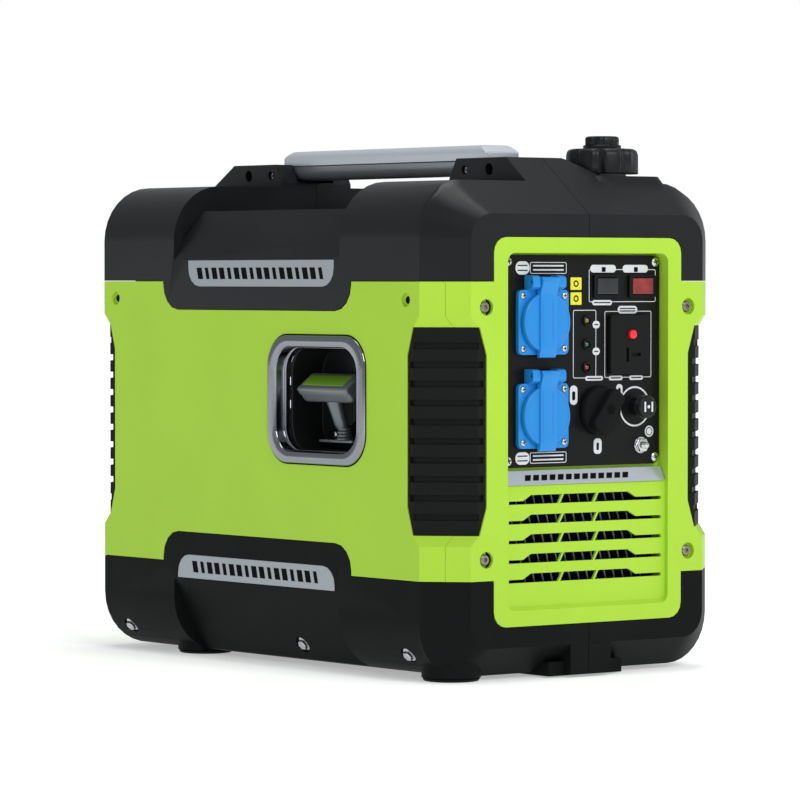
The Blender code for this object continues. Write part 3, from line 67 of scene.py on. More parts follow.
def surface(name, colour, roughness, metallic=0.0, grain=0.0, grain_scale=1500.0, tone=0.05,
            spread=0.06, stretch=(1, 1, 1), coat=0.0, specular=0.5, emission=0.0):
    """Principled material with uneven tone, uneven gloss and a fine surface grain."""
    material = bpy.data.materials.new(name)
    material.use_nodes = True
    nodes = material.node_tree.nodes
    links = material.node_tree.links
    shader = nodes["Principled BSDF"]
    shader.inputs["Metallic"].default_value = metallic
    shader.inputs["Coat Weight"].default_value = coat
    shader.inputs["Coat Roughness"].default_value = COAT_ROUGHNESS
    shader.inputs["Specular IOR Level"].default_value = specular
    place = nodes.new("ShaderNodeTexCoord")
    mapping = nodes.new("ShaderNodeMapping")
    mapping.inputs["Scale"].default_value = stretch
    links.new(place.outputs["Object"], mapping.inputs["Vector"])

    def noise(scale, detail):
        node = nodes.new("ShaderNodeTexNoise")
        node.inputs["Scale"].default_value = scale
        node.inputs["Detail"].default_value = detail
        links.new(mapping.outputs["Vector"], node.inputs["Vector"])
        return node.outputs["Fac"]

    ramp = nodes.new("ShaderNodeValToRGB")
    ramp.color_ramp.elements[0].position = 0.3
    ramp.color_ramp.elements[1].position = 0.7
    ramp.color_ramp.elements[0].color = [c * (1 - tone) for c in colour] + [1]
    ramp.color_ramp.elements[1].color = [min(c * (1 + tone), 1) for c in colour] + [1]
    links.new(noise(TONE_SCALE, 4.0), ramp.inputs["Fac"])
    links.new(ramp.outputs["Color"], shader.inputs["Base Color"])
    gloss = nodes.new("ShaderNodeMapRange")
    gloss.inputs["To Min"].default_value = max(roughness - spread, 0.02)
    gloss.inputs["To Max"].default_value = min(roughness + spread, 1.0)
    links.new(noise(grain_scale * GLOSS_SHARE, 3.0), gloss.inputs["Value"])
    links.new(gloss.outputs["Result"], shader.inputs["Roughness"])
    if grain:
        bump = nodes.new("ShaderNodeBump")
        bump.inputs["Strength"].default_value = grain
        bump.inputs["Distance"].default_value = GRAIN_DEPTH
        links.new(noise(grain_scale, 2.0), bump.inputs["Height"])
        links.new(bump.outputs["Normal"], shader.inputs["Normal"])
    if emission:
        shader.inputs["Emission Color"].default_value = list(colour) + [1]
        shader.inputs["Emission Strength"].default_value = emission
    return material


MATERIALS = {
    "lime": surface("lime", (0.40, 0.67, 0.040), 0.46, grain=0.05, grain_scale=2600, tone=0.02,
                    specular=0.3),
    "black": surface("black", (0.0082, 0.0094, 0.0098), 0.32, grain=0.08, grain_scale=2300, tone=0.12,
                     specular=0.22),
    "base_black": surface("base_black", (0.0072, 0.0082, 0.0084), 0.5, grain=0.12, grain_scale=2300,
                          tone=0.12, specular=0.05),
    "rubber": surface("rubber", (0.0078, 0.0085, 0.0085), 0.6, grain=0.18, grain_scale=1800, tone=0.15,
                      specular=0.1),
    # Matte near-black for dark print and small dark parts, and also painted shade where it stands in for
    # shadowed gaps, recesses and holes.
    "near_black_and_painted_shade": surface("near_black_and_painted_shade", (0.003, 0.003, 0.003), 0.9, tone=0.1, specular=0.1),
    "silver": surface("silver", (0.36, 0.40, 0.43), 0.36, metallic=0.55, grain=0.06, grain_scale=900,
                      stretch=(1, 0.05, 1), tone=0.05),
    "silver_strip": surface("silver_strip", (0.42, 0.46, 0.50), 0.36, metallic=0.5, grain=0.06,
                            grain_scale=900, stretch=(0.05, 1, 1), tone=0.05),
    "chrome": surface("chrome", (0.25, 0.262, 0.285), 0.13, metallic=1.0, spread=0.03, tone=0.02),
    "aluminium": surface("aluminium", (0.74, 0.79, 0.85), 0.3, metallic=0.6, grain=0.06, grain_scale=1100,
                         stretch=(1, 0.04, 1), tone=0.04),
    "dark_aluminium": surface("dark_aluminium", (0.33, 0.36, 0.37), 0.36, metallic=0.5, grain=0.05,
                              grain_scale=1100, stretch=(1, 0.04, 1), tone=0.05),
    "zinc": surface("zinc", (0.30, 0.28, 0.24), 0.3, metallic=0.9, grain=0.05, grain_scale=1600, tone=0.15),
    "steel": surface("steel", (0.58, 0.59, 0.60), 0.24, metallic=1.0, grain=0.05, grain_scale=1600,
                     tone=0.08),
    "cast": surface("cast", (0.30, 0.31, 0.32), 0.55, metallic=0.9, grain=0.4, grain_scale=900, tone=0.15),
    "blue": surface("blue", (0.016, 0.245, 0.66), 0.36, grain=0.03, grain_scale=2600, tone=0.02,
                    specular=0.3),
    "painted_groove_shade_blue": surface("painted_groove_shade_blue", (0.012, 0.17, 0.58), 0.4, tone=0.03),
    "panel": surface("panel", (0.0055, 0.0058, 0.006), 0.36, grain=0.04, grain_scale=2600, tone=0.1,
                     specular=0.14),
    "print": surface("print", (0.66, 0.68, 0.70), 0.5, tone=0.05),
    "yellow": surface("yellow", (0.78, 0.72, 0.02), 0.4, tone=0.03),
    "red": surface("red", (0.78, 0.014, 0.022), 0.3, tone=0.04, coat=0.3),
    "amber": surface("amber", (0.22, 0.022, 0.018), 0.2, tone=0.55, coat=0.3, stretch=(6, 6, 6)),
    "smoke": surface("smoke", (0.026, 0.030, 0.031), 0.16, tone=0.3, coat=0.4),
    "lens_yellow": surface("lens_yellow", (0.20, 0.17, 0.05), 0.12, tone=0.2, coat=0.8),
    "lens_green": surface("lens_green", (0.006, 0.075, 0.03), 0.12, tone=0.2, coat=0.8),
    "lens_red": surface("lens_red", (0.16, 0.004, 0.01), 0.12, tone=0.2, coat=0.8),
    "grip_metal": surface("grip_metal", (0.17, 0.19, 0.20), 0.34, metallic=0.5, grain=0.05, grain_scale=1100,
                          stretch=(1, 0.04, 1), tone=0.05),
    "green_insert": surface("green_insert", (0.16, 0.36, 0.012), 0.4, tone=0.04, grain=0.05),
    "rope": surface("rope", (0.02, 0.02, 0.02), 0.85, grain=0.7, grain_scale=700, tone=0.3),
    "floor": surface("floor", (0.9, 0.9, 0.9), 0.8, tone=0.01, specular=0.0, emission=0.42),
}
NODE_LOOKS = {
    "lime_plastic": "lime", "black_plastic": "black", "black_rubber": "rubber", "silver_trim": "silver",
    "chrome": "chrome", "aluminium": "aluminium", "grey_metal": "steel", "handle_grey": "dark_aluminium",
    "exhaust_metal": "cast", "blue_plastic": "blue", "panel_black": "panel", "red_plastic": "red",
    "amber_red": "amber", "yellow_lens": "lens_yellow", "green_lens": "lens_green",
    "red_lens": "lens_red", "cast_metal": "cast", "rope": "rope", "tank_plastic": "black",
}


GLOW_REACH = (0.9, 2.6)
GLOW_STRENGTH = (0.44, 0.9)


def whiten_floor():
    """Lets the floor glow more away from the object, so that it meets the white surround unseen."""
    nodes = MATERIALS["floor"].node_tree.nodes
    links = MATERIALS["floor"].node_tree.links
    place = nodes.new("ShaderNodeTexCoord")
    reach = nodes.new("ShaderNodeVectorMath")
    reach.operation = "LENGTH"
    glow = nodes.new("ShaderNodeMapRange")
    glow.inputs["From Min"].default_value, glow.inputs["From Max"].default_value = GLOW_REACH
    glow.inputs["To Min"].default_value, glow.inputs["To Max"].default_value = GLOW_STRENGTH
    links.new(place.outputs["Object"], reach.inputs[0])
    links.new(reach.outputs["Value"], glow.inputs["Value"])
    links.new(glow.outputs["Result"], nodes["Principled BSDF"].inputs["Emission Strength"])


# ---------------------------------------------------------------- mesh helpers


def box_of(node):
    """Low corner, high corner and centre of a CAD node."""
    low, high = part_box(node)
    return low, high, (low + high) / 2


def rounded(corners, steps=6):
    """Closed outline through (u, v, radius) corners, each turned into an arc."""
    points = []
    count = len(corners)
    for i, (u, v, radius) in enumerate(corners):
        here = Vector((u, v))
        if radius <= 0:
            points.append((u, v))
            continue
        back = (Vector(corners[i - 1][:2]) - here).normalized()
        ahead = (Vector(corners[(i + 1) % count][:2]) - here).normalized()
        half = back.angle(ahead) / 2
        reach = radius / math.tan(half)
        centre = here + (back + ahead).normalized() * (radius / math.sin(half))
        start = here + back * reach - centre
        turn = math.pi - 2 * half
        sign = 1 if start.cross(here + ahead * reach - centre) > 0 else -1
        for k in range(steps + 1):
            spot = Matrix.Rotation(sign * turn * k / steps, 2) @ start
            points.append((centre.x + spot.x, centre.y + spot.y))
    return points


def rectangle(u_low, u_high, v_low, v_high, radius=0.0, steps=6):
    return rounded([(u_low, v_low, radius), (u_high, v_low, radius),
                    (u_high, v_high, radius), (u_low, v_high, radius)], steps)


def circle(u, v, radius, steps=32):
    turn = 2 * math.pi / steps
    return [(u + radius * math.cos(k * turn), v + radius * math.sin(k * turn)) for k in range(steps)]


PLANES = {
    "front": Matrix(((1, 0, 0, 0), (0, 0, -1, 0), (0, 1, 0, 0), (0, 0, 0, 1))),
    "left": Matrix(((0, 0, -1, 0), (1, 0, 0, 0), (0, 1, 0, 0), (0, 0, 0, 1))),
    "up": Matrix.Identity(4),
}


def tidy_normals(mesh):
    """Welds a mesh, turns its faces outwards and leaves only its sharp edges hard."""
    bm = bmesh.new()
    bm.from_mesh(mesh)
    bmesh.ops.remove_doubles(bm, verts=bm.verts, dist=MERGE_DISTANCE)
    bmesh.ops.recalc_face_normals(bm, faces=bm.faces)
    bm.to_mesh(mesh)
    bm.free()
    mesh.shade_smooth()
    mesh.set_sharp_from_angle(angle=SMOOTH_ANGLE)
    return mesh


def plate(name, loops, plane, low, high, edge=0.0, edge_steps=2):
    """Flat outline, with holes, from low to high along the way the plane faces, with round edges."""
    curve = bpy.data.curves.new(name, "CURVE")
    curve.dimensions = "2D"
    curve.fill_mode = "BOTH"
    for loop in loops:
        spline = curve.splines.new("POLY")
        spline.points.add(len(loop) - 1)
        for point, (u, v) in zip(spline.points, loop):
            point.co = (u, v, 0, 1)
        spline.use_cyclic_u = True
    curve.extrude = (high - low) / 2 - edge
    curve.bevel_depth = edge
    curve.bevel_resolution = edge_steps
    curve.offset = -edge
    holder = bpy.data.objects.new(name, curve)
    bpy.context.scene.collection.objects.link(holder)
    bpy.context.view_layer.update()
    evaluated = holder.evaluated_get(bpy.context.evaluated_depsgraph_get())
    mesh = bpy.data.meshes.new_from_object(evaluated)
    bpy.data.objects.remove(holder)
    mesh.transform(PLANES[plane] @ Matrix.Translation((0, 0, (low + high) / 2)))
    return tidy_normals(mesh)


def loft(name, rings, closed=False):
    """Skin over rings with the same number of points; closed joins the last ring to the first."""
    bm = bmesh.new()
    rows = [[bm.verts.new(point) for point in ring] for ring in rings]
    size = len(rows[0])
    pairs = list(zip(rows, rows[1:]))
    if closed:
        pairs.append((rows[-1], rows[0]))
    for a, b in pairs:
        for k in range(size):
            bm.faces.new((a[k], a[(k + 1) % size], b[(k + 1) % size], b[k]))
    if not closed:
        bm.faces.new(rows[0])
        bm.faces.new(list(reversed(rows[-1])))
    mesh = bpy.data.meshes.new(name)
    bm.to_mesh(mesh)
    bm.free()
    return tidy_normals(mesh)


def turned(name, profile, place, steps, wave=None):
    """Profile of (radius, height) turned about the local Z axis; wave(angle, radius) may vary the radius."""
    rings = []
    for radius, height in profile:
        ring = []
        for k in range(steps):
            angle = 2 * math.pi * k / steps
            reach = max(radius if wave is None else wave(angle, radius), 1e-5)
            ring.append(place @ Vector((reach * math.cos(angle), reach * math.sin(angle), height)))
        rings.append(ring)
    return loft(name, rings)


def facing(direction, spot):
    """Matrix that turns local +Z to a direction and moves to a spot."""
    turn = Vector(direction).to_track_quat("Z", "Y").to_matrix().to_4x4()
    return Matrix.Translation(spot) @ turn


def joined(name, meshes):
    """One mesh from several."""
    bm = bmesh.new()
    for mesh in meshes:
        bm.from_mesh(mesh)
    mesh = bpy.data.meshes.new(name)
    bm.to_mesh(mesh)
    bm.free()
    return tidy_normals(mesh)


def piece(name, mesh, look, body=ROOT, replaced=(), bevel=0.0):
    item = bpy.data.objects.new(name, mesh)
    bpy.context.scene.collection.objects.link(item)
    mesh.materials.clear()
    mesh.materials.append(MATERIALS[look])
    if bevel:
        add_bevel(item, bevel)
    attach(item, body)
    if replaced:
        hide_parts(*replaced)


def add_bevel(item, width, segments=2):
    modifier = item.modifiers.new("edges", "BEVEL")
    modifier.width = width
    modifier.segments = segments
    modifier.limit_method = "ANGLE"
    modifier.angle_limit = EDGE_ANGLE
    modifier.miter_outer = "MITER_ARC"


def refine(node, width, merge):
    """Rounds the edges of a CAD node with modifiers, so its own points stay; merge first joins flat faces."""
    item = NODES[node]
    mesh = item.data
    for attribute in ("custom_normal", "sharp_face"):
        if attribute in mesh.attributes:
            mesh.attributes.remove(mesh.attributes[attribute])
    mesh.shade_smooth()
    weld = item.modifiers.new("weld", "WELD")
    weld.merge_threshold = WELD_DISTANCE
    if merge:
        flat = item.modifiers.new("flat", "DECIMATE")
        flat.decimate_type = "DISSOLVE"
        flat.angle_limit = FLAT_ANGLE
    add_bevel(item, width, SHELL_STEPS)
    normal = item.modifiers.new("normals", "WEIGHTED_NORMAL")
    normal.keep_sharp = True
    normal.weight = 60


def cut(node, mesh):
    """Cuts a pocket in how a CAD node looks, ahead of its edge rounding."""
    tool = bpy.data.objects.new("cut_" + mesh.name, mesh)
    bpy.context.scene.collection.objects.link(tool)
    tool.hide_render = True
    tool.hide_viewport = True
    item = NODES[node]
    modifier = item.modifiers.new("pocket", "BOOLEAN")
    modifier.object = tool
    modifier.solver = "EXACT"
    item.modifiers.move(len(item.modifiers) - 1, 1)
    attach(tool, ROOT)


# ---------------------------------------------------------------- casing

# Edge rounding of each CAD node in millimetres, where it is not PLAIN_EDGE.
SHELL_EDGES = {
    "top_cover_left": 2.6, "top_cover_right": 2.6, "base_left": 2.2, "base_right": 2.2,
    "side_cover_left": 0.8, "side_cover_right": 0.8, "front_cover": 0.7, "rear_cover": 0.7,
    "corner_grip_front_left": 0.5, "corner_grip_front_right": 0.5,
    "corner_grip_rear_left": 0.5, "corner_grip_rear_right": 0.5,
    "foot_front_left": 0.6, "foot_front_right": 0.6, "foot_rear_left": 0.6, "foot_rear_right": 0.6,
    "handle_bar": 0.8, "handle_grip": 0.8, "badge_upper_left": 0.25, "badge_lower_left": 0.25,
    "panel_trim": 0.3, "recoil_cup": 0.8, "control_panel": 0.2, "socket_upper": 0.5,
    "socket_lower": 0.5, "socket_lid_upper": 0.7, "socket_lid_lower": 0.7, "rocker_frame_dark": 0.4,
    "rocker_frame_red": 0.4, "rocker_dark": 0.5, "rocker_red": 0.5, "dc_outlet": 0.5,
    "breaker_button": 0.4, "choke_knob": 0.5, "muffler": 1.0, "louver_baffle": 0.3,
}
# Nodes with rows of openings keep their faces as they are, because joined faces would bridge them.
PIERCED = ("front_cover", "rear_cover", "control_panel", "louver_baffle")


def dress_nodes():
    """Gives each CAD node its material and its rounded edges."""
    slots = {row["node"]: row["material_slot"] for row in frame["record"]["subparts"]}
    for node, item in NODES.items():
        item.data.materials.clear()
        item.data.materials.append(MATERIALS[NODE_LOOKS[slots[node]]])
        refine(node, SHELL_EDGES.get(node, PLAIN_EDGE) * MM, node not in PIERCED)
    for side in ("left", "right"):
        NODES["base_" + side].data.materials[0] = MATERIALS["base_black"]
    NODES["panel_trim"].data.materials[0] = MATERIALS["silver_strip"]
    NODES["rocker_dark"].data.materials[0] = MATERIALS["smoke"]
    # The baffle behind the louvers gets the near-black material: painted shade in the louver openings.
    NODES["louver_baffle"].data.materials[0] = MATERIALS["near_black_and_painted_shade"]


def hex_bolt(place, radius, height):
    head = turned("hex", [(0.0, height), (radius * 0.86, height), (radius, height * 0.8), (radius, 0.0)],
                  place, 6)
    washer = turned("washer", [(radius * 1.35, 0.5 * MM), (radius * 1.45, 0.3 * MM), (radius * 1.45, 0.0)],
                    place, 32)
    return joined("bolt", [head, washer])


def socket_screw(place, radius, height):
    """Round head with a hexagonal hole."""
    profile = [(radius * 0.45, height * 0.3), (radius * 0.46, height), (radius * 0.8, height),
               (radius, height * 0.7), (radius, 0.0)]

    def six_sided(angle, reach):
        if reach > radius * 0.5:
            return reach
        inside = (angle % (math.pi / 3)) - math.pi / 6
        return reach * math.cos(math.pi / 6) / math.cos(inside)

    return turned("screw", profile, place, 48, six_sided)


def cross_screw(place, radius):
    """Pan head, and the two short bars that stand for its cross recess; the bars are drawn near-black,
    painted shade in place of a real recess.
    """
    profile = [(radius, 0.0), (radius * 0.98, 0.5 * MM), (radius * 0.8, 1.1 * MM),
               (radius * 0.45, 1.45 * MM), (0.0, 1.5 * MM)]
    head = turned("pan", profile, place, 32)
    bars = []
    for turn in (20, 110):
        bar = bpy.data.meshes.new("bar")
        bm = bmesh.new()
        bmesh.ops.create_cube(bm, size=1.0)
        bm.to_mesh(bar)
        bm.free()
        size = Matrix.Diagonal((radius * 1.1, radius * 0.22, 0.3 * MM, 1))
        bar.transform(place @ Matrix.Translation((0, 0, 1.42 * MM))
                      @ Matrix.Rotation(math.radians(turn), 4, "Z") @ size)
        bars.append(bar)
    return head, bars


BOLT_RADIUS = 4.4 * MM
BOLT_HEIGHT = 3.4 * MM
BOLT_SINK = 1.9 * MM
CUP_PROFILE = ((8.2 * MM, 6 * MM), (7.2 * MM, -2.0 * MM))
# Pocket of each bolt on the left side, and the way it faces.
BOLT_SPOTS = (
    (Vector((-134.8, 189.5, 19.5)) * MM, Vector((-0.774, 0, -0.633))),
    (Vector((-120.7, -31.5, 17)) * MM, Vector((-0.85, 0, -0.526))),
    (Vector((-134.8, -186, 19)) * MM, Vector((-0.774, 0, -0.633))),
)


def make_bolts():
    """Hex bolts in shallow pockets along the foot of both sides."""
    for side, tag in ((1, "left"), (-1, "right")):
        cups = []
        for i, (spot, way) in enumerate(BOLT_SPOTS):
            flip = Matrix.Diagonal((side, 1, 1))
            direction = (flip @ way).normalized()
            place = facing(direction, flip @ spot)
            cups.append(turned("cup", CUP_PROFILE, place, 32))
            seat = place @ Matrix.Translation((0, 0, -BOLT_SINK))
            piece(f"base_bolt_{tag}_{i}", hex_bolt(seat, BOLT_RADIUS, BOLT_HEIGHT), "steel", bevel=0.2 * MM)
        cut("base_" + tag, joined("cups_" + tag, cups))


MARK_COUNT = 17
MARK_PITCH = 10.2 * MM
WELL_X = 102 * MM
WELL_ZS = (94 * MM, 286.5 * MM)
SIDE_WELL_Y = 196 * MM
SIDE_WELL_Z = 292 * MM
EAR_SCREW_YS = {"left": (-131 * MM, 127.5 * MM), "right": (127.5 * MM,)}
EAR_SCREW_Z = 393.8 * MM
EAR_X = 36 * MM
COVER_SCREW_Y = 237.2 * MM
SIDE_PLUG_X = 142.3 * MM


def make_casing_screws():
    """Cover screws, the plugs in the side wells and the screws in the handle ears."""
    for sign, tag in ((-1, "front"), (1, "rear")):
        face = sign * COVER_SCREW_Y
        heads = [socket_screw(facing((0, sign, 0), (x, face, z)), 4.3 * MM, 2.6 * MM)
                 for x in (-WELL_X, WELL_X) for z in WELL_ZS]
        piece(f"{tag}_cover_screws", joined("screws", heads), "zinc")
    for sign, tag in ((-1, "left"), (1, "right")):
        heads = [turned("side", [(0.0, 0.6 * MM), (2.6 * MM, 0.6 * MM), (3.0 * MM, 0.0)],
                        facing((sign, 0, 0), (sign * SIDE_PLUG_X, y, SIDE_WELL_Z)), 24)
                 for y in (-SIDE_WELL_Y, SIDE_WELL_Y)]
        piece(f"side_well_plugs_{tag}", joined("plugs", heads), "near_black_and_painted_shade")
        ears = [socket_screw(facing((sign, 0, 0), (sign * (EAR_X - 6 * MM), y, EAR_SCREW_Z)), 3 * MM, 4 * MM)
                for y in EAR_SCREW_YS[tag]]
        piece(f"ear_screws_{tag}", joined("ears", ears), "steel")


def slanting_dash(u, v, half_width, lean, half_height):
    """Outline of a leaning bar round a middle point."""
    return [(u - half_width - lean, v - half_height), (u + half_width - lean, v - half_height),
            (u + half_width + lean, v + half_height), (u - half_width + lean, v + half_height)]


def make_badge_marks():
    """Rows of slanting dashes where a maker's lettering would stand."""
    for node in ("badge_upper_left", "badge_lower_left"):
        low, _, middle = box_of(node)
        loops = []
        for k in range(MARK_COUNT):
            y = middle.y + (k - (MARK_COUNT - 1) / 2) * MARK_PITCH
            loops.append(slanting_dash(y, middle.z, (3.4 if k % 3 else 2.2) * MM, 1.2 * MM, 4.6 * MM))
        mesh = plate(node + "_marks", loops, "left", -low.x - 0.02 * MM, -low.x + 0.12 * MM)
        piece(node + "_marks", mesh, "near_black_and_painted_shade")


STRIP_MARK_COUNT = 13
STRIP_MARK_PITCH = 8.2 * MM
STRIP_MARK_X = -8 * MM


def make_strip_marks():
    """Matching dashes on the sloping strip under the panel."""
    low, high, middle = box_of("panel_trim")
    rise = math.atan2(high.y - low.y - 1.3 * MM, high.z - low.z)
    loops = []
    for k in range(STRIP_MARK_COUNT):
        x = STRIP_MARK_X + (k - (STRIP_MARK_COUNT - 1) / 2) * STRIP_MARK_PITCH
        loops.append(slanting_dash(x, 0, 2.9 * MM, 1.0 * MM, 2.4 * MM))
    mesh = plate("strip_marks", loops, "front", 0, 0.12 * MM)
    lean = Matrix.Rotation(-rise, 4, "X")
    mesh.transform(Matrix.Translation((middle.x, middle.y - 0.75 * MM, middle.z)) @ lean)
    piece("strip_marks", mesh, "near_black_and_painted_shade")


# ---------------------------------------------------------------- recoil starter


def window_ring(low, high, inset_y, inset_z, x, radius):
    """Outline of the starter window, inset by so much, in the plane at x."""
    outline = rectangle(low.y + inset_y, high.y - inset_y, low.z + inset_z, high.z - inset_z, radius, 10)
    return [(x, y, z) for y, z in outline]


def make_bezel():
    """Flat frame round the starter window, with a steep wall and a lip inside, on a near-black ring that
    shows just outside it as a painted shadow line.
    """
    low, high, _ = box_of("recoil_bezel")
    x = low.x
    # Inset along Y, inset along Z, depth and corner radius of each ring, in millimetres.
    section = [(0, 0, 2.2, 25), (0.1, 0.1, 1.4, 24.9), (0.8, 0.8, 0.4, 24.5), (1.9, 1.9, 0, 23.8),
               (8.6, 7.8, 0, 20.8), (9.8, 8.8, 0.4, 20.2), (10.5, 9.3, 1.3, 19.8), (10.8, 9.5, 2.6, 19.6),
               (11.4, 9.7, 8.2, 19.2), (11.9, 9.9, 8.9, 19), (12.9, 10.2, 9.1, 18.8), (13.4, 10.5, 9.6, 18.6),
               (13.5, 10.6, 13.6, 18.6), (12.6, 9.8, 13.7, 19), (9.6, 8, 12.6, 20), (3.2, 3.2, 7, 23),
               (3, 3, 2.4, 23)]
    rings = [window_ring(low, high, a * MM, b * MM, x + c * MM, r * MM) for a, b, c, r in section]
    piece("bezel_ring", loft("bezel", rings, closed=True), "chrome",
          replaced=("recoil_bezel",))
    # Near-black ring a little wider than the frame: a painted shadow line round the frame's edge.
    seat = [rectangle(low.y - grow * MM, high.y + grow * MM, low.z - grow * MM, high.z + grow * MM,
                      (25 + grow) * MM, 10) for grow in (0.9, -2)]
    piece("bezel_painted_shadow", plate("seat", seat, "left", -x - 2.3 * MM, -x - 2.0 * MM), "near_black_and_painted_shade")


BAR_SHIFT = 3 * MM
# Corners of the bar's section in millimetres from the rope's outer end, with their radii.
BAR_CORNERS = ((-11.2, 20.0, 3), (5.2, 32.6, 3), (-4.2, 44.6, 2.2), (-21.2, 31.6, 2.2), (-17.4, 26.6, 0.25),
               (-16.6, 27.2, 0.25))
# Share of the bar's length and size of its section there, which rounds both ends.
BAR_RINGS = ((0.0, 0.74), (0.012, 0.86), (0.04, 0.96), (0.08, 1.0), (0.92, 1.0), (0.96, 0.96), (0.988, 0.86),
             (1.0, 0.74))
# Share of the stem's length from the bar to the rope, and radius there in millimetres.
STEM_RINGS = ((0.0, 8.4), (0.25, 7.2), (0.6, 6.4), (0.9, 6.2), (1.0, 5.6))


def make_starter():
    """Slanting bar on a tapered stem, with a green insert in its upper face."""
    low, high, middle = box_of("starter_handle")
    for corner in (low, high, middle):
        corner.y += BAR_SHIFT
    rope_low, _, rope = box_of("starter_rope")
    section = rounded([(rope_low.x + u * MM, rope.z + v * MM, r * MM) for u, v, r in BAR_CORNERS], 6)
    heart = Vector((rope_low.x - 8.1 * MM, 0, rope.z + 32 * MM))
    rings = []
    for share, shrink in BAR_RINGS:
        y = low.y + (high.y - low.y) * share
        rings.append([(heart.x + (x - heart.x) * shrink, y, heart.z + (z - heart.z) * shrink)
                      for x, z in section])
    stem = []
    stem_top = Vector((rope_low.x - 6.5 * MM, rope.y + BAR_SHIFT, rope.z + 27 * MM))
    stem_foot = Vector((rope_low.x + 1 * MM, rope.y, rope.z + 0.5 * MM))
    for share, radius in STEM_RINGS:
        centre = stem_top.lerp(stem_foot, share)
        stem.append([(centre.x + 0.8 * u, centre.y + v, centre.z) for u, v in circle(0, 0, radius * MM)])
    mesh = joined("grip", [loft("bar", rings), loft("stem", stem)])
    piece("starter_grip", mesh, "grip_metal", "starter", ("starter_handle",))
    upper, lower = BAR_CORNERS[2], BAR_CORNERS[3]
    top = Vector((upper[0] - lower[0], 0, upper[1] - lower[1])).normalized()
    up = Vector((-top.z, 0, top.x))
    centre = Vector((rope_low.x - 12.7 * MM, middle.y, rope.z + 38.1 * MM)) + up * -0.35 * MM
    turn = Matrix(((top.x, 0, up.x), (0, 1, 0), (top.z, 0, up.z))).to_4x4()
    mesh = plate("insert", [rectangle(-6.2 * MM, 6.2 * MM, -27 * MM, 27 * MM, 1.8 * MM)], "up", 0, 0.8 * MM,
                 0.25 * MM)
    mesh.transform(Matrix.Translation(centre) @ turn)
    piece("starter_insert", tidy_normals(mesh), "green_insert", "starter")


BOOT_RIBS = 4


def make_rope_guide():
    """Ribbed boot standing on a shelf, with a back plate and one screw."""
    low, high, _ = box_of("rope_guide")
    rope_low, _, rope = box_of("starter_rope")
    back = high.x
    foot = low.z + 2 * MM
    profile = []
    for k in range(BOOT_RIBS):
        base = k * 2.6 * MM
        radius = (6.9 - k * 0.35) * MM
        profile += [(radius - 0.9 * MM, base), (radius, base + 0.4 * MM), (radius, base + 1.6 * MM),
                    (radius - 0.9 * MM, base + 2.1 * MM)]
    profile = [(0.0, 0.0)] + profile + [(4.6 * MM, 10.8 * MM), (0.0, 11 * MM)]
    boot = turned("boot", profile, Matrix.Translation((rope_low.x + 3.5 * MM, rope.y, foot)), 40)
    tag = plate("flange", [rectangle(low.y + 0.3 * MM, high.y - 0.3 * MM, low.z, rope.z - 2 * MM, 3 * MM)],
                "left", -back, -back + 2.6 * MM, 0.4 * MM)
    shelf = plate("shelf", [rectangle(low.x + 0.5 * MM, back - 0.5 * MM, low.y + 0.3 * MM, high.y - 0.3 * MM,
                                      3 * MM)], "up", low.z, foot, 0.4 * MM)
    piece("guide_plate", tag, "near_black_and_painted_shade", replaced=("rope_guide",))
    piece("guide_shelf", shelf, "dark_aluminium")
    piece("guide_boot", boot, "grip_metal")
    place = facing((-1, 0, 0), (back - 2.6 * MM, high.y - 10 * MM, rope.z - 5 * MM))
    head, bars = cross_screw(place, 2.8 * MM)
    piece("guide_screw", head, "steel")
    # Near-black bars: painted shade of the cross recess.
    piece("guide_screw_recess_shade", joined("cross", bars), "near_black_and_painted_shade")


# ---------------------------------------------------------------- control panel


PRINT_SINK = 0.05 * MM
LINE_RISE = 0.12 * MM
RULE_RISE = 0.15 * MM
PILL_RISE = 0.18 * MM
STICKER_RISE = 0.2 * MM
LINE_WIDTH = 0.55 * MM
LINE_RADIUS = 1.5 * MM
# Low and high X, then low and high Z, of what is printed on the panel, in millimetres.
FRAMES = ((-51.5, -15, 312, 321), (-51.5, -15, 166, 174.6), (7.6, 76, 290, 315.6), (-8.4, 15, 231, 284),
          (23.6, 71.6, 231, 283))
PILLS = ((-66, -52, 311.4, 321.6), (-66, -52, 165.4, 175), (9, 35, 313, 319), (42, 68, 313, 319),
         (11, 31, 287.6, 291.6), (37, 57, 281, 287), (4, 22, 229, 232.6), (28, 42, 229, 232.6),
         (49, 63, 229, 232.6), (11.4, 18.6, 269.6, 275.4), (11.4, 18.6, 248.8, 254.6))
# The same, with a corner radius.
TABS = ((-11.6, -4, 210.5, 225.5, 3.5), (35.5, 42, 215.5, 226, 3), (12.6, 20.6, 172, 184, 3))
TAB_MARKS = ((15.4, 17.8, 175, 180.6, 0.5), (-9.4, -6.2, 214, 221, 1.4), (37.4, 40, 218.4, 223, 1.2))
# Low and high X, and middle Z, of the dashes on the pills.
PILL_DASHES = ((-64, -54, 318.4), (-64, -54, 314.6), (-64, -54, 172), (-64, -54, 168.4), (12.5, 29.5, 289.6),
               (39, 55, 285), (39, 55, 283), (6, 20, 230.8), (30, 40, 230.8), (51, 61, 230.8),
               (13, 17, 272.5), (13, 17, 251.7))
EARTH_MARK = (69.5 * MM, 188.5 * MM)
RULE_ZS = (318.2, 315, 171.8, 168.8)
STICKER_ZS = (299.6, 288)
STICKER_MARK_ZS = (304.4, 292.8)


def metres(values):
    """Values in millimetres, turned into metres."""
    return [value * MM for value in values]


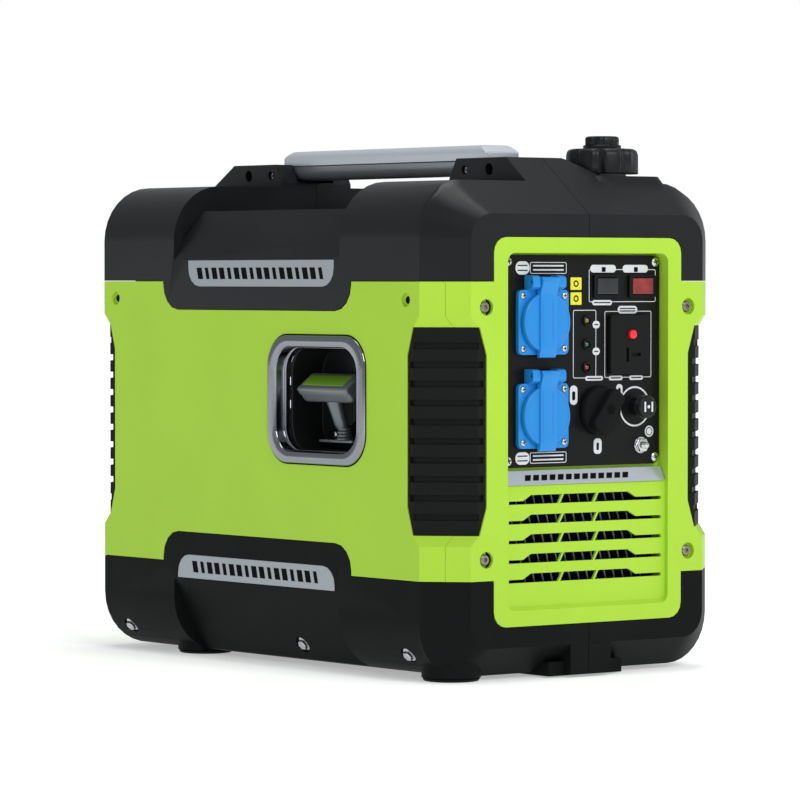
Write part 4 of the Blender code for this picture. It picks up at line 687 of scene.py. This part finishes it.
def frame_loops(x_low, x_high, z_low, z_high):
    """Outer and inner outline of a thin frame."""
    return [rectangle(x_low, x_high, z_low, z_high, LINE_RADIUS),
            rectangle(x_low + LINE_WIDTH, x_high - LINE_WIDTH, z_low + LINE_WIDTH, z_high - LINE_WIDTH,
                      LINE_RADIUS - LINE_WIDTH)]


def pill(x_low, x_high, z_low, z_high):
    return [rectangle(x_low, x_high, z_low, z_high, (z_high - z_low) / 2 * 0.98)]


def print_on_panel():
    """White lines and pills round the groups of controls, with no wording."""
    face = -box_of("control_panel")[0].y

    def sheets(name, shapes, low, high):
        return [plate(name, loops, "front", face + low, face + high) for loops in shapes]

    pills = [pill(*metres(sides)) for sides in PILLS]
    pills += [[rectangle(*metres(sides))] for sides in TABS]
    pills.append([circle(*EARTH_MARK, 4.4 * MM)])
    knob = box_of("choke_knob")[2]
    ring = [circle(knob.x - 1 * MM, knob.z, radius, 64) for radius in (15.8 * MM, 14.4 * MM)]
    white = sheets("line", [frame_loops(*metres(sides)) for sides in FRAMES], -PRINT_SINK, LINE_RISE)
    white += sheets("pill", pills, -PRINT_SINK, PILL_RISE)
    white += sheets("ring", [ring], -PRINT_SINK, LINE_RISE)
    piece("panel_print", joined("print", white), "print")
    dark = [[rectangle(x * MM, (x + 4) * MM, (z - 1.4) * MM, (z + 2.4) * MM, 0.3 * MM)]
            for x, z in ((20.5, 314.9), (53.5, 314.9))]
    dark += [[rectangle(x_low * MM, x_high * MM, (z - 0.45) * MM, (z + 0.45) * MM, 0.2 * MM)]
             for x_low, x_high, z in PILL_DASHES]
    dark += [[rectangle(*metres(sides))] for sides in TAB_MARKS]
    dark.append([circle(*EARTH_MARK, 3.3 * MM), circle(*EARTH_MARK, 2.6 * MM)])
    piece("panel_print_dark", joined("dark", sheets("bar", dark, 0.1 * MM, 0.26 * MM)), "near_black_and_painted_shade")
    rules = [[rectangle(-48.5 * MM, -18 * MM, (z - 0.6) * MM, (z + 0.6) * MM, 0.3 * MM)] for z in RULE_ZS]
    piece("panel_rules", joined("rules", sheets("rule", rules, -PRINT_SINK, RULE_RISE)), "print")
    stickers = [[rectangle(-11 * MM, 0, z * MM, (z + 9.6) * MM, 0.5 * MM)] for z in STICKER_ZS]
    piece("panel_stickers", joined("stickers", sheets("sticker", stickers, -PRINT_SINK, STICKER_RISE)),
          "yellow")
    marks = [[circle(-5.5 * MM, z * MM, 2.6 * MM), circle(-5.5 * MM, z * MM, 1.5 * MM)]
             for z in STICKER_MARK_ZS]
    piece("sticker_marks", joined("marks", sheets("mark", marks, 0.15 * MM, 0.28 * MM)), "near_black_and_painted_shade")


def make_panel_screws():
    """Cross-head screws at the corners of the panel and of both sockets."""
    low, high, _ = box_of("control_panel")
    heads, crosses = [], []
    for x in (low.x + 4.6 * MM, high.x - 4.6 * MM):
        for z in (low.z + 5.2 * MM, high.z - 5.2 * MM):
            head, bars = cross_screw(facing((0, -1, 0), (x, low.y, z)), 3.7 * MM)
            heads.append(head)
            crosses += bars
    piece("panel_screws", joined("heads", heads), "steel")
    # Near-black bars: painted shade of the cross recesses.
    piece("panel_screw_recess_shades", joined("crosses", crosses), "near_black_and_painted_shade")
    for node in ("socket_upper", "socket_lower"):
        low, high, _ = box_of(node)
        face = box_of("control_panel")[0].y - 4 * MM
        centre_x, low_z = (low.x + high.x) / 2, low.z
        heads, crosses = [], []
        for x in (centre_x - 20.5 * MM, centre_x + 20.5 * MM):
            for z in (low_z + 4.6 * MM, low_z + 45.4 * MM):
                head, bars = cross_screw(facing((0, -1, 0), (x, face, z)), 2.7 * MM)
                heads.append(head)
                crosses += bars
        piece(node + "_screws", joined("heads", heads), "steel")
        # Near-black bars: painted shade of the cross recesses.
        piece(node + "_screw_recess_shades", joined("crosses", crosses), "near_black_and_painted_shade")


LID_BAND = 8.2 * MM


def make_lids():
    """Socket lids: a thin rimmed disc, a band with two grooves up to the hinge, and a finger tab; the grooves
    are only darker blue lines on the band, painted shade.
    """
    for node in ("socket_lid_upper", "socket_lid_lower"):
        low, high, middle = box_of(node)
        x, back = middle.x, high.y - 4 * MM
        hinge_z = high.z - 4.2 * MM
        disc_z = hinge_z - 31 * MM
        place = facing((0, -1, 0), (x, back, disc_z))
        profile = [(0.0, -3.6 * MM), (23.0 * MM, -3.6 * MM), (23.2 * MM, -3.1 * MM), (23.2 * MM, -1.2 * MM),
                   (22.8 * MM, 0.1 * MM), (21.9 * MM, 0.8 * MM), (20.9 * MM, 0.9 * MM), (20.4 * MM, 0.5 * MM),
                   (19.8 * MM, 0.5 * MM), (0.0, 0.6 * MM)]
        disc = turned("disc", profile, place, 96)
        side = rounded([
            (back + 3.4 * MM, disc_z - 21 * MM, 1 * MM), (back + 2.8 * MM, disc_z - 27.3 * MM, 1 * MM),
            (back - 0.4 * MM, disc_z - 27.3 * MM, 1.4 * MM), (back - 2.2 * MM, disc_z - 20 * MM, 3 * MM),
            (back - 2.2 * MM, disc_z + 22 * MM, 3 * MM), (low.y + 0.2 * MM, hinge_z + 0.5 * MM, 2 * MM),
            (low.y + 1.6 * MM, hinge_z + 4 * MM, 2 * MM), (low.y + 6.4 * MM, hinge_z + 4 * MM, 2 * MM),
            (back + 3.4 * MM, hinge_z, 1.5 * MM), (back + 3.4 * MM, disc_z + 24 * MM, 1 * MM)], 4)
        band = plate("band", [side], "left", -x - LID_BAND, -x + LID_BAND, 0.5 * MM)
        piece(node + "_shell", joined("lid", [disc, band]), "blue", node, (node,))
        # Groove lines: thin darker blue strips on the band's face, painted shade in place of cut grooves.
        grooves = [[rectangle(x + u * MM, x + (u + 0.7) * MM, disc_z - 14 * MM, disc_z + 18 * MM, 0.3 * MM)]
                   for u in (3.6, -6.6)]
        front = 2.2 * MM - back
        lines = [plate("groove", loops, "front", front - 0.05 * MM, front + 0.06 * MM) for loops in grooves]
        piece(node + "_grooves", joined("grooves", lines), "painted_groove_shade_blue", node)


def make_lamp_bezels():
    """Dark collars round the three lamps."""
    for node in ("led_yellow", "led_green", "led_red"):
        _, _, middle = box_of(node)
        face = box_of("control_panel")[0].y
        profile = [(2.7 * MM, 0.0), (2.7 * MM, 1.6 * MM), (3.1 * MM, 2.1 * MM), (4.0 * MM, 1.6 * MM),
                   (4.3 * MM, 0.0)]
        ring = turned("bezel", profile, facing((0, -1, 0), (middle.x, face, middle.z)), 40)
        piece(node + "_bezel", ring, "panel")


RIDGE_TILT = math.radians(-52)


def make_engine_knob():
    """Round knob with a broad slanting ridge and, in its middle, a near-black disc that is painted shade
    standing for the pointer hole.
    """
    low, high, _ = box_of("engine_knob")
    face = box_of("control_panel")[0].y
    centre = Vector(((low.x + high.x) / 2, face, (low.z + high.z) / 2))
    place = facing((0, -1, 0), centre)
    profile = [(19.3 * MM, 0.6 * MM), (19.5 * MM, 1.2 * MM), (18.8 * MM, 4.6 * MM), (17.9 * MM, 5.9 * MM),
               (16.6 * MM, 6.7 * MM), (8 * MM, 7.1 * MM), (0.0, 7.1 * MM)]
    disc = turned("disc", profile, place, 72)
    tilt = Matrix.Rotation(RIDGE_TILT, 4, "Y")
    shift = Matrix.Translation(centre)
    ridge = plate("ridge", [rounded([(-18.4 * MM, -7 * MM, 4.4 * MM), (18.4 * MM, -7.4 * MM, 4.4 * MM),
                                     (18.4 * MM, 7.4 * MM, 4.4 * MM), (-18.4 * MM, 7 * MM, 4.4 * MM)], 6)],
                  "front", 2 * MM, 14.2 * MM, 1.2 * MM, 3)
    ridge.transform(shift @ tilt)
    piece("knob_body", joined("knob", [disc, ridge]), "base_black", "engine_knob",
          ("engine_knob",))
    # Near-black disc on the ridge face: painted shade of the pointer hole.
    hole = plate("hole", [circle(1.5 * MM, 0, 3.9 * MM, 36)], "front", 14.1 * MM, 14.35 * MM)
    hole.transform(shift @ tilt)
    piece("knob_pointer_painted_shade", hole, "near_black_and_painted_shade", "engine_knob")


def make_choke_mark():
    """Two bars and a dot on the pull knob."""
    low, _, middle = box_of("choke_knob")
    loops = [[rectangle(middle.x + (shift - 0.8) * MM, middle.x + (shift + 0.8) * MM,
                        middle.z - 4 * MM, middle.z + 4 * MM, 0.4 * MM)] for shift in (-3.6, 3.6)]
    loops.append([circle(middle.x, middle.z, 1.3 * MM, 24)])
    sheets = [plate("mark", loop, "front", -low.y - 0.3 * MM, -low.y + 0.1 * MM) for loop in loops]
    piece("choke_mark", joined("mark", sheets), "print", "choke_knob")


def make_ground_terminal():
    """Threaded stud with a nut over a washer."""
    _, _, middle = box_of("ground_terminal")
    face = box_of("control_panel")[0].y
    place = facing((0, -1, 0), (middle.x, face, middle.z))
    nut = turned("nut", [(5.6 * MM, 1.6 * MM), (5.8 * MM, 2.0 * MM), (5.8 * MM, 4.6 * MM),
                         (5.2 * MM, 5.1 * MM), (2.7 * MM, 5.2 * MM)], place, 6)
    washer = turned("washer", [(6.5 * MM, 0.3 * MM), (6.5 * MM, 1.3 * MM), (6.2 * MM, 1.6 * MM),
                               (2.7 * MM, 1.6 * MM)], place, 48)
    stud_profile = [(2.7 * MM, 0.3 * MM)]
    for k in range(6):
        stud_profile += [(2.7 * MM, (4.8 + k * 0.6) * MM), (2.45 * MM, (5.1 + k * 0.6) * MM)]
    stud_profile += [(2.2 * MM, 8.6 * MM), (0.0, 8.8 * MM)]
    stud = turned("stud", stud_profile, place, 32)
    piece("ground_stud", joined("ground", [nut, washer, stud]), "steel",
          replaced=("ground_terminal",))


# ---------------------------------------------------------------- filler cap


CAP_LOBES = 8
LOBE_START = 25 * MM
LOBE_DEPTH = 2.6 * MM
KNURLS = 14
KNURL_BAND = (12 * MM, 14.5 * MM)
KNURL_DEPTH = 0.7 * MM


def make_cap():
    """Lobed filler cap with a knurled vent knob and its wing."""
    low, high, middle = box_of("fuel_cap")
    base = high.z
    top = box_of("vent_knob")[1].z
    place = Matrix.Translation((middle.x, middle.y, 0))

    def scallop(angle, reach):
        if reach < LOBE_START:
            return reach
        wave = max(0.0, math.cos(CAP_LOBES * angle)) ** 1.4
        return reach - LOBE_DEPTH * wave

    profile = [(22 * MM, low.z), (28.4 * MM, low.z), (29 * MM, low.z + 0.8 * MM), (28.8 * MM, base - 5 * MM),
               (28.0 * MM, base - 2.2 * MM), (26.6 * MM, base - 0.7 * MM), (24 * MM, base), (17 * MM, base),
               (16.4 * MM, base - 0.6 * MM), (0.0, base - 0.6 * MM)]
    piece("cap_body", turned("cap", profile, place, 240, scallop), "black", "fuel_cap",
          ("fuel_cap",))

    def knurl(angle, reach):
        if not KNURL_BAND[0] <= reach <= KNURL_BAND[1]:
            return reach
        return reach - KNURL_DEPTH * max(0.0, math.cos(KNURLS * angle))

    profile = [(15.1 * MM, base + 0.4 * MM), (15.1 * MM, base + 2.4 * MM), (14.6 * MM, base + 3.0 * MM),
               (13.2 * MM, base + 3.5 * MM), (13.4 * MM, base + 4.2 * MM), (13.4 * MM, top - 1.8 * MM),
               (12.6 * MM, top - 0.5 * MM), (11 * MM, top), (8.4 * MM, top), (7.8 * MM, top - 0.5 * MM),
               (0.0, top - 0.5 * MM)]
    knob = turned("knob", profile, place, 168, knurl)
    outline = rectangle(middle.x - 15 * MM, middle.x + 15 * MM,
                        middle.y - 4.6 * MM, middle.y + 4.6 * MM, 3 * MM)
    wing = plate("wing", [outline], "up", base + 2.6 * MM, top - 0.8 * MM, 0.8 * MM)
    piece("vent_cap", joined("vent", [knob, wing]), "black", "vent_knob", ("vent_knob",))


# ---------------------------------------------------------------- louvers


def thin_louvers():
    """Thins the front cover behind its louvers to the thickness of a moulded grille."""
    low, high, _ = box_of("louver_baffle")
    face = -box_of("front_cover")[0].y - 3.7 * MM
    outline = rectangle(low.x + 1 * MM, high.x - 1 * MM, low.z + 9 * MM, high.z - 9 * MM, 3 * MM)
    cut("front_cover", plate("relief", [outline], "front", face - 14.4 * MM, face - 2.2 * MM))


FIN_COUNT = 17
FIN_PITCH = 9 * MM
FIN_LEAN = 26 * MM
FIN_HALF = 0.35 * MM


def make_fins():
    """Thin slanting fins behind the front louvers."""
    low, high, _ = box_of("louver_baffle")
    face = -low.y
    sheets = []
    for k in range(FIN_COUNT):
        x = low.x + 8 * MM + k * FIN_PITCH
        if x + FIN_LEAN + FIN_HALF < high.x:
            loop = [(x - FIN_HALF, high.z - 3 * MM), (x + FIN_HALF, high.z - 3 * MM),
                    (x + FIN_LEAN + FIN_HALF, low.z + 3 * MM), (x + FIN_LEAN - FIN_HALF, low.z + 3 * MM)]
            sheets.append(plate("fin", [loop], "front", face, face + 1.2 * MM))
    piece("louver_fins", joined("fins", sheets), "dark_aluminium")


# ---------------------------------------------------------------- stage


def area_light(name, spot, aim, size, power):
    """Soft rectangular lamp at a spot, aimed at a point."""
    lamp = bpy.data.lights.new(name, "AREA")
    lamp.shape = "RECTANGLE"
    lamp.size, lamp.size_y = size
    lamp.energy = power
    item = bpy.data.objects.new(name, lamp)
    item.location = spot
    item.rotation_mode = "QUATERNION"
    item.rotation_quaternion = (Vector(aim) - Vector(spot)).to_track_quat("-Z", "Y")
    bpy.context.scene.collection.objects.link(item)


FLOOR_HALF = 14
FLOOR_DROP = 0.0002


def make_stage():
    """Pale floor, white surround and four soft lamps."""
    bm = bmesh.new()
    bmesh.ops.create_grid(bm, x_segments=2, y_segments=2, size=FLOOR_HALF)
    mesh = bpy.data.meshes.new("floor")
    bm.to_mesh(mesh)
    bm.free()
    floor = bpy.data.objects.new("floor", mesh)
    mesh.materials.append(MATERIALS["floor"])
    whiten_floor()
    floor.location.z = -FLOOR_DROP
    bpy.context.scene.collection.objects.link(floor)
    world = bpy.data.worlds.new("studio")
    world.use_nodes = True
    bpy.context.scene.world = world
    nodes, links = world.node_tree.nodes, world.node_tree.links
    back = nodes["Background"]
    back.inputs["Color"].default_value = (1, 1, 1, 1)
    back.inputs["Strength"].default_value = 1.0
    dim = nodes.new("ShaderNodeBackground")
    dim.inputs["Color"].default_value = (0.93, 0.96, 1, 1)
    dim.inputs["Strength"].default_value = 0.40
    mix = nodes.new("ShaderNodeMixShader")
    path = nodes.new("ShaderNodeLightPath")
    links.new(path.outputs["Is Camera Ray"], mix.inputs["Fac"])
    links.new(dim.outputs["Background"], mix.inputs[1])
    links.new(back.outputs["Background"], mix.inputs[2])
    links.new(mix.outputs["Shader"], nodes["World Output"].inputs["Surface"])
    area_light("key", (-0.4, -2.6, 2.0), (0, 0, 0.2), (1.8, 1.4), 38)
    area_light("side", (-2.4, -0.2, 1.1), (-0.1, -0.05, 0.22), (1.3, 1.1), 1.5)
    area_light("top", (0.2, 0.1, 2.4), (0, 0, 0.4), (1.0, 1.6), 20)
    area_light("right", (2.4, -1.2, 1.3), (0, 0, 0.2), (1.2, 1.2), 10)


CAMERA_SPOT = (-2.2461, -2.9005, 0.3089)
CAMERA_WAY = (0.61231, 0.79015, -0.02717)
LENS_MM = 202.3


def make_camera():
    """Camera at the photograph's viewing angle."""
    data = bpy.data.cameras.new("camera")
    data.lens = LENS_MM
    data.sensor_width = 36
    data.clip_start = 0.1
    data.clip_end = 60
    camera = bpy.data.objects.new("camera", data)
    camera.location = CAMERA_SPOT
    camera.rotation_mode = "QUATERNION"
    camera.rotation_quaternion = Vector(CAMERA_WAY).to_track_quat("-Z", "Y")
    bpy.context.scene.collection.objects.link(camera)
    bpy.context.scene.camera = camera
    bpy.context.scene.view_settings.view_transform = "Standard"


make_camera()
make_stage()
dress_nodes()
make_bolts()
make_casing_screws()
make_badge_marks()
make_bezel()
make_starter()
make_rope_guide()
print_on_panel()
make_panel_screws()
make_lids()
make_lamp_bezels()
make_engine_knob()
make_ground_terminal()
make_cap()
thin_louvers()
make_fins()
make_choke_mark()
make_strip_marks()
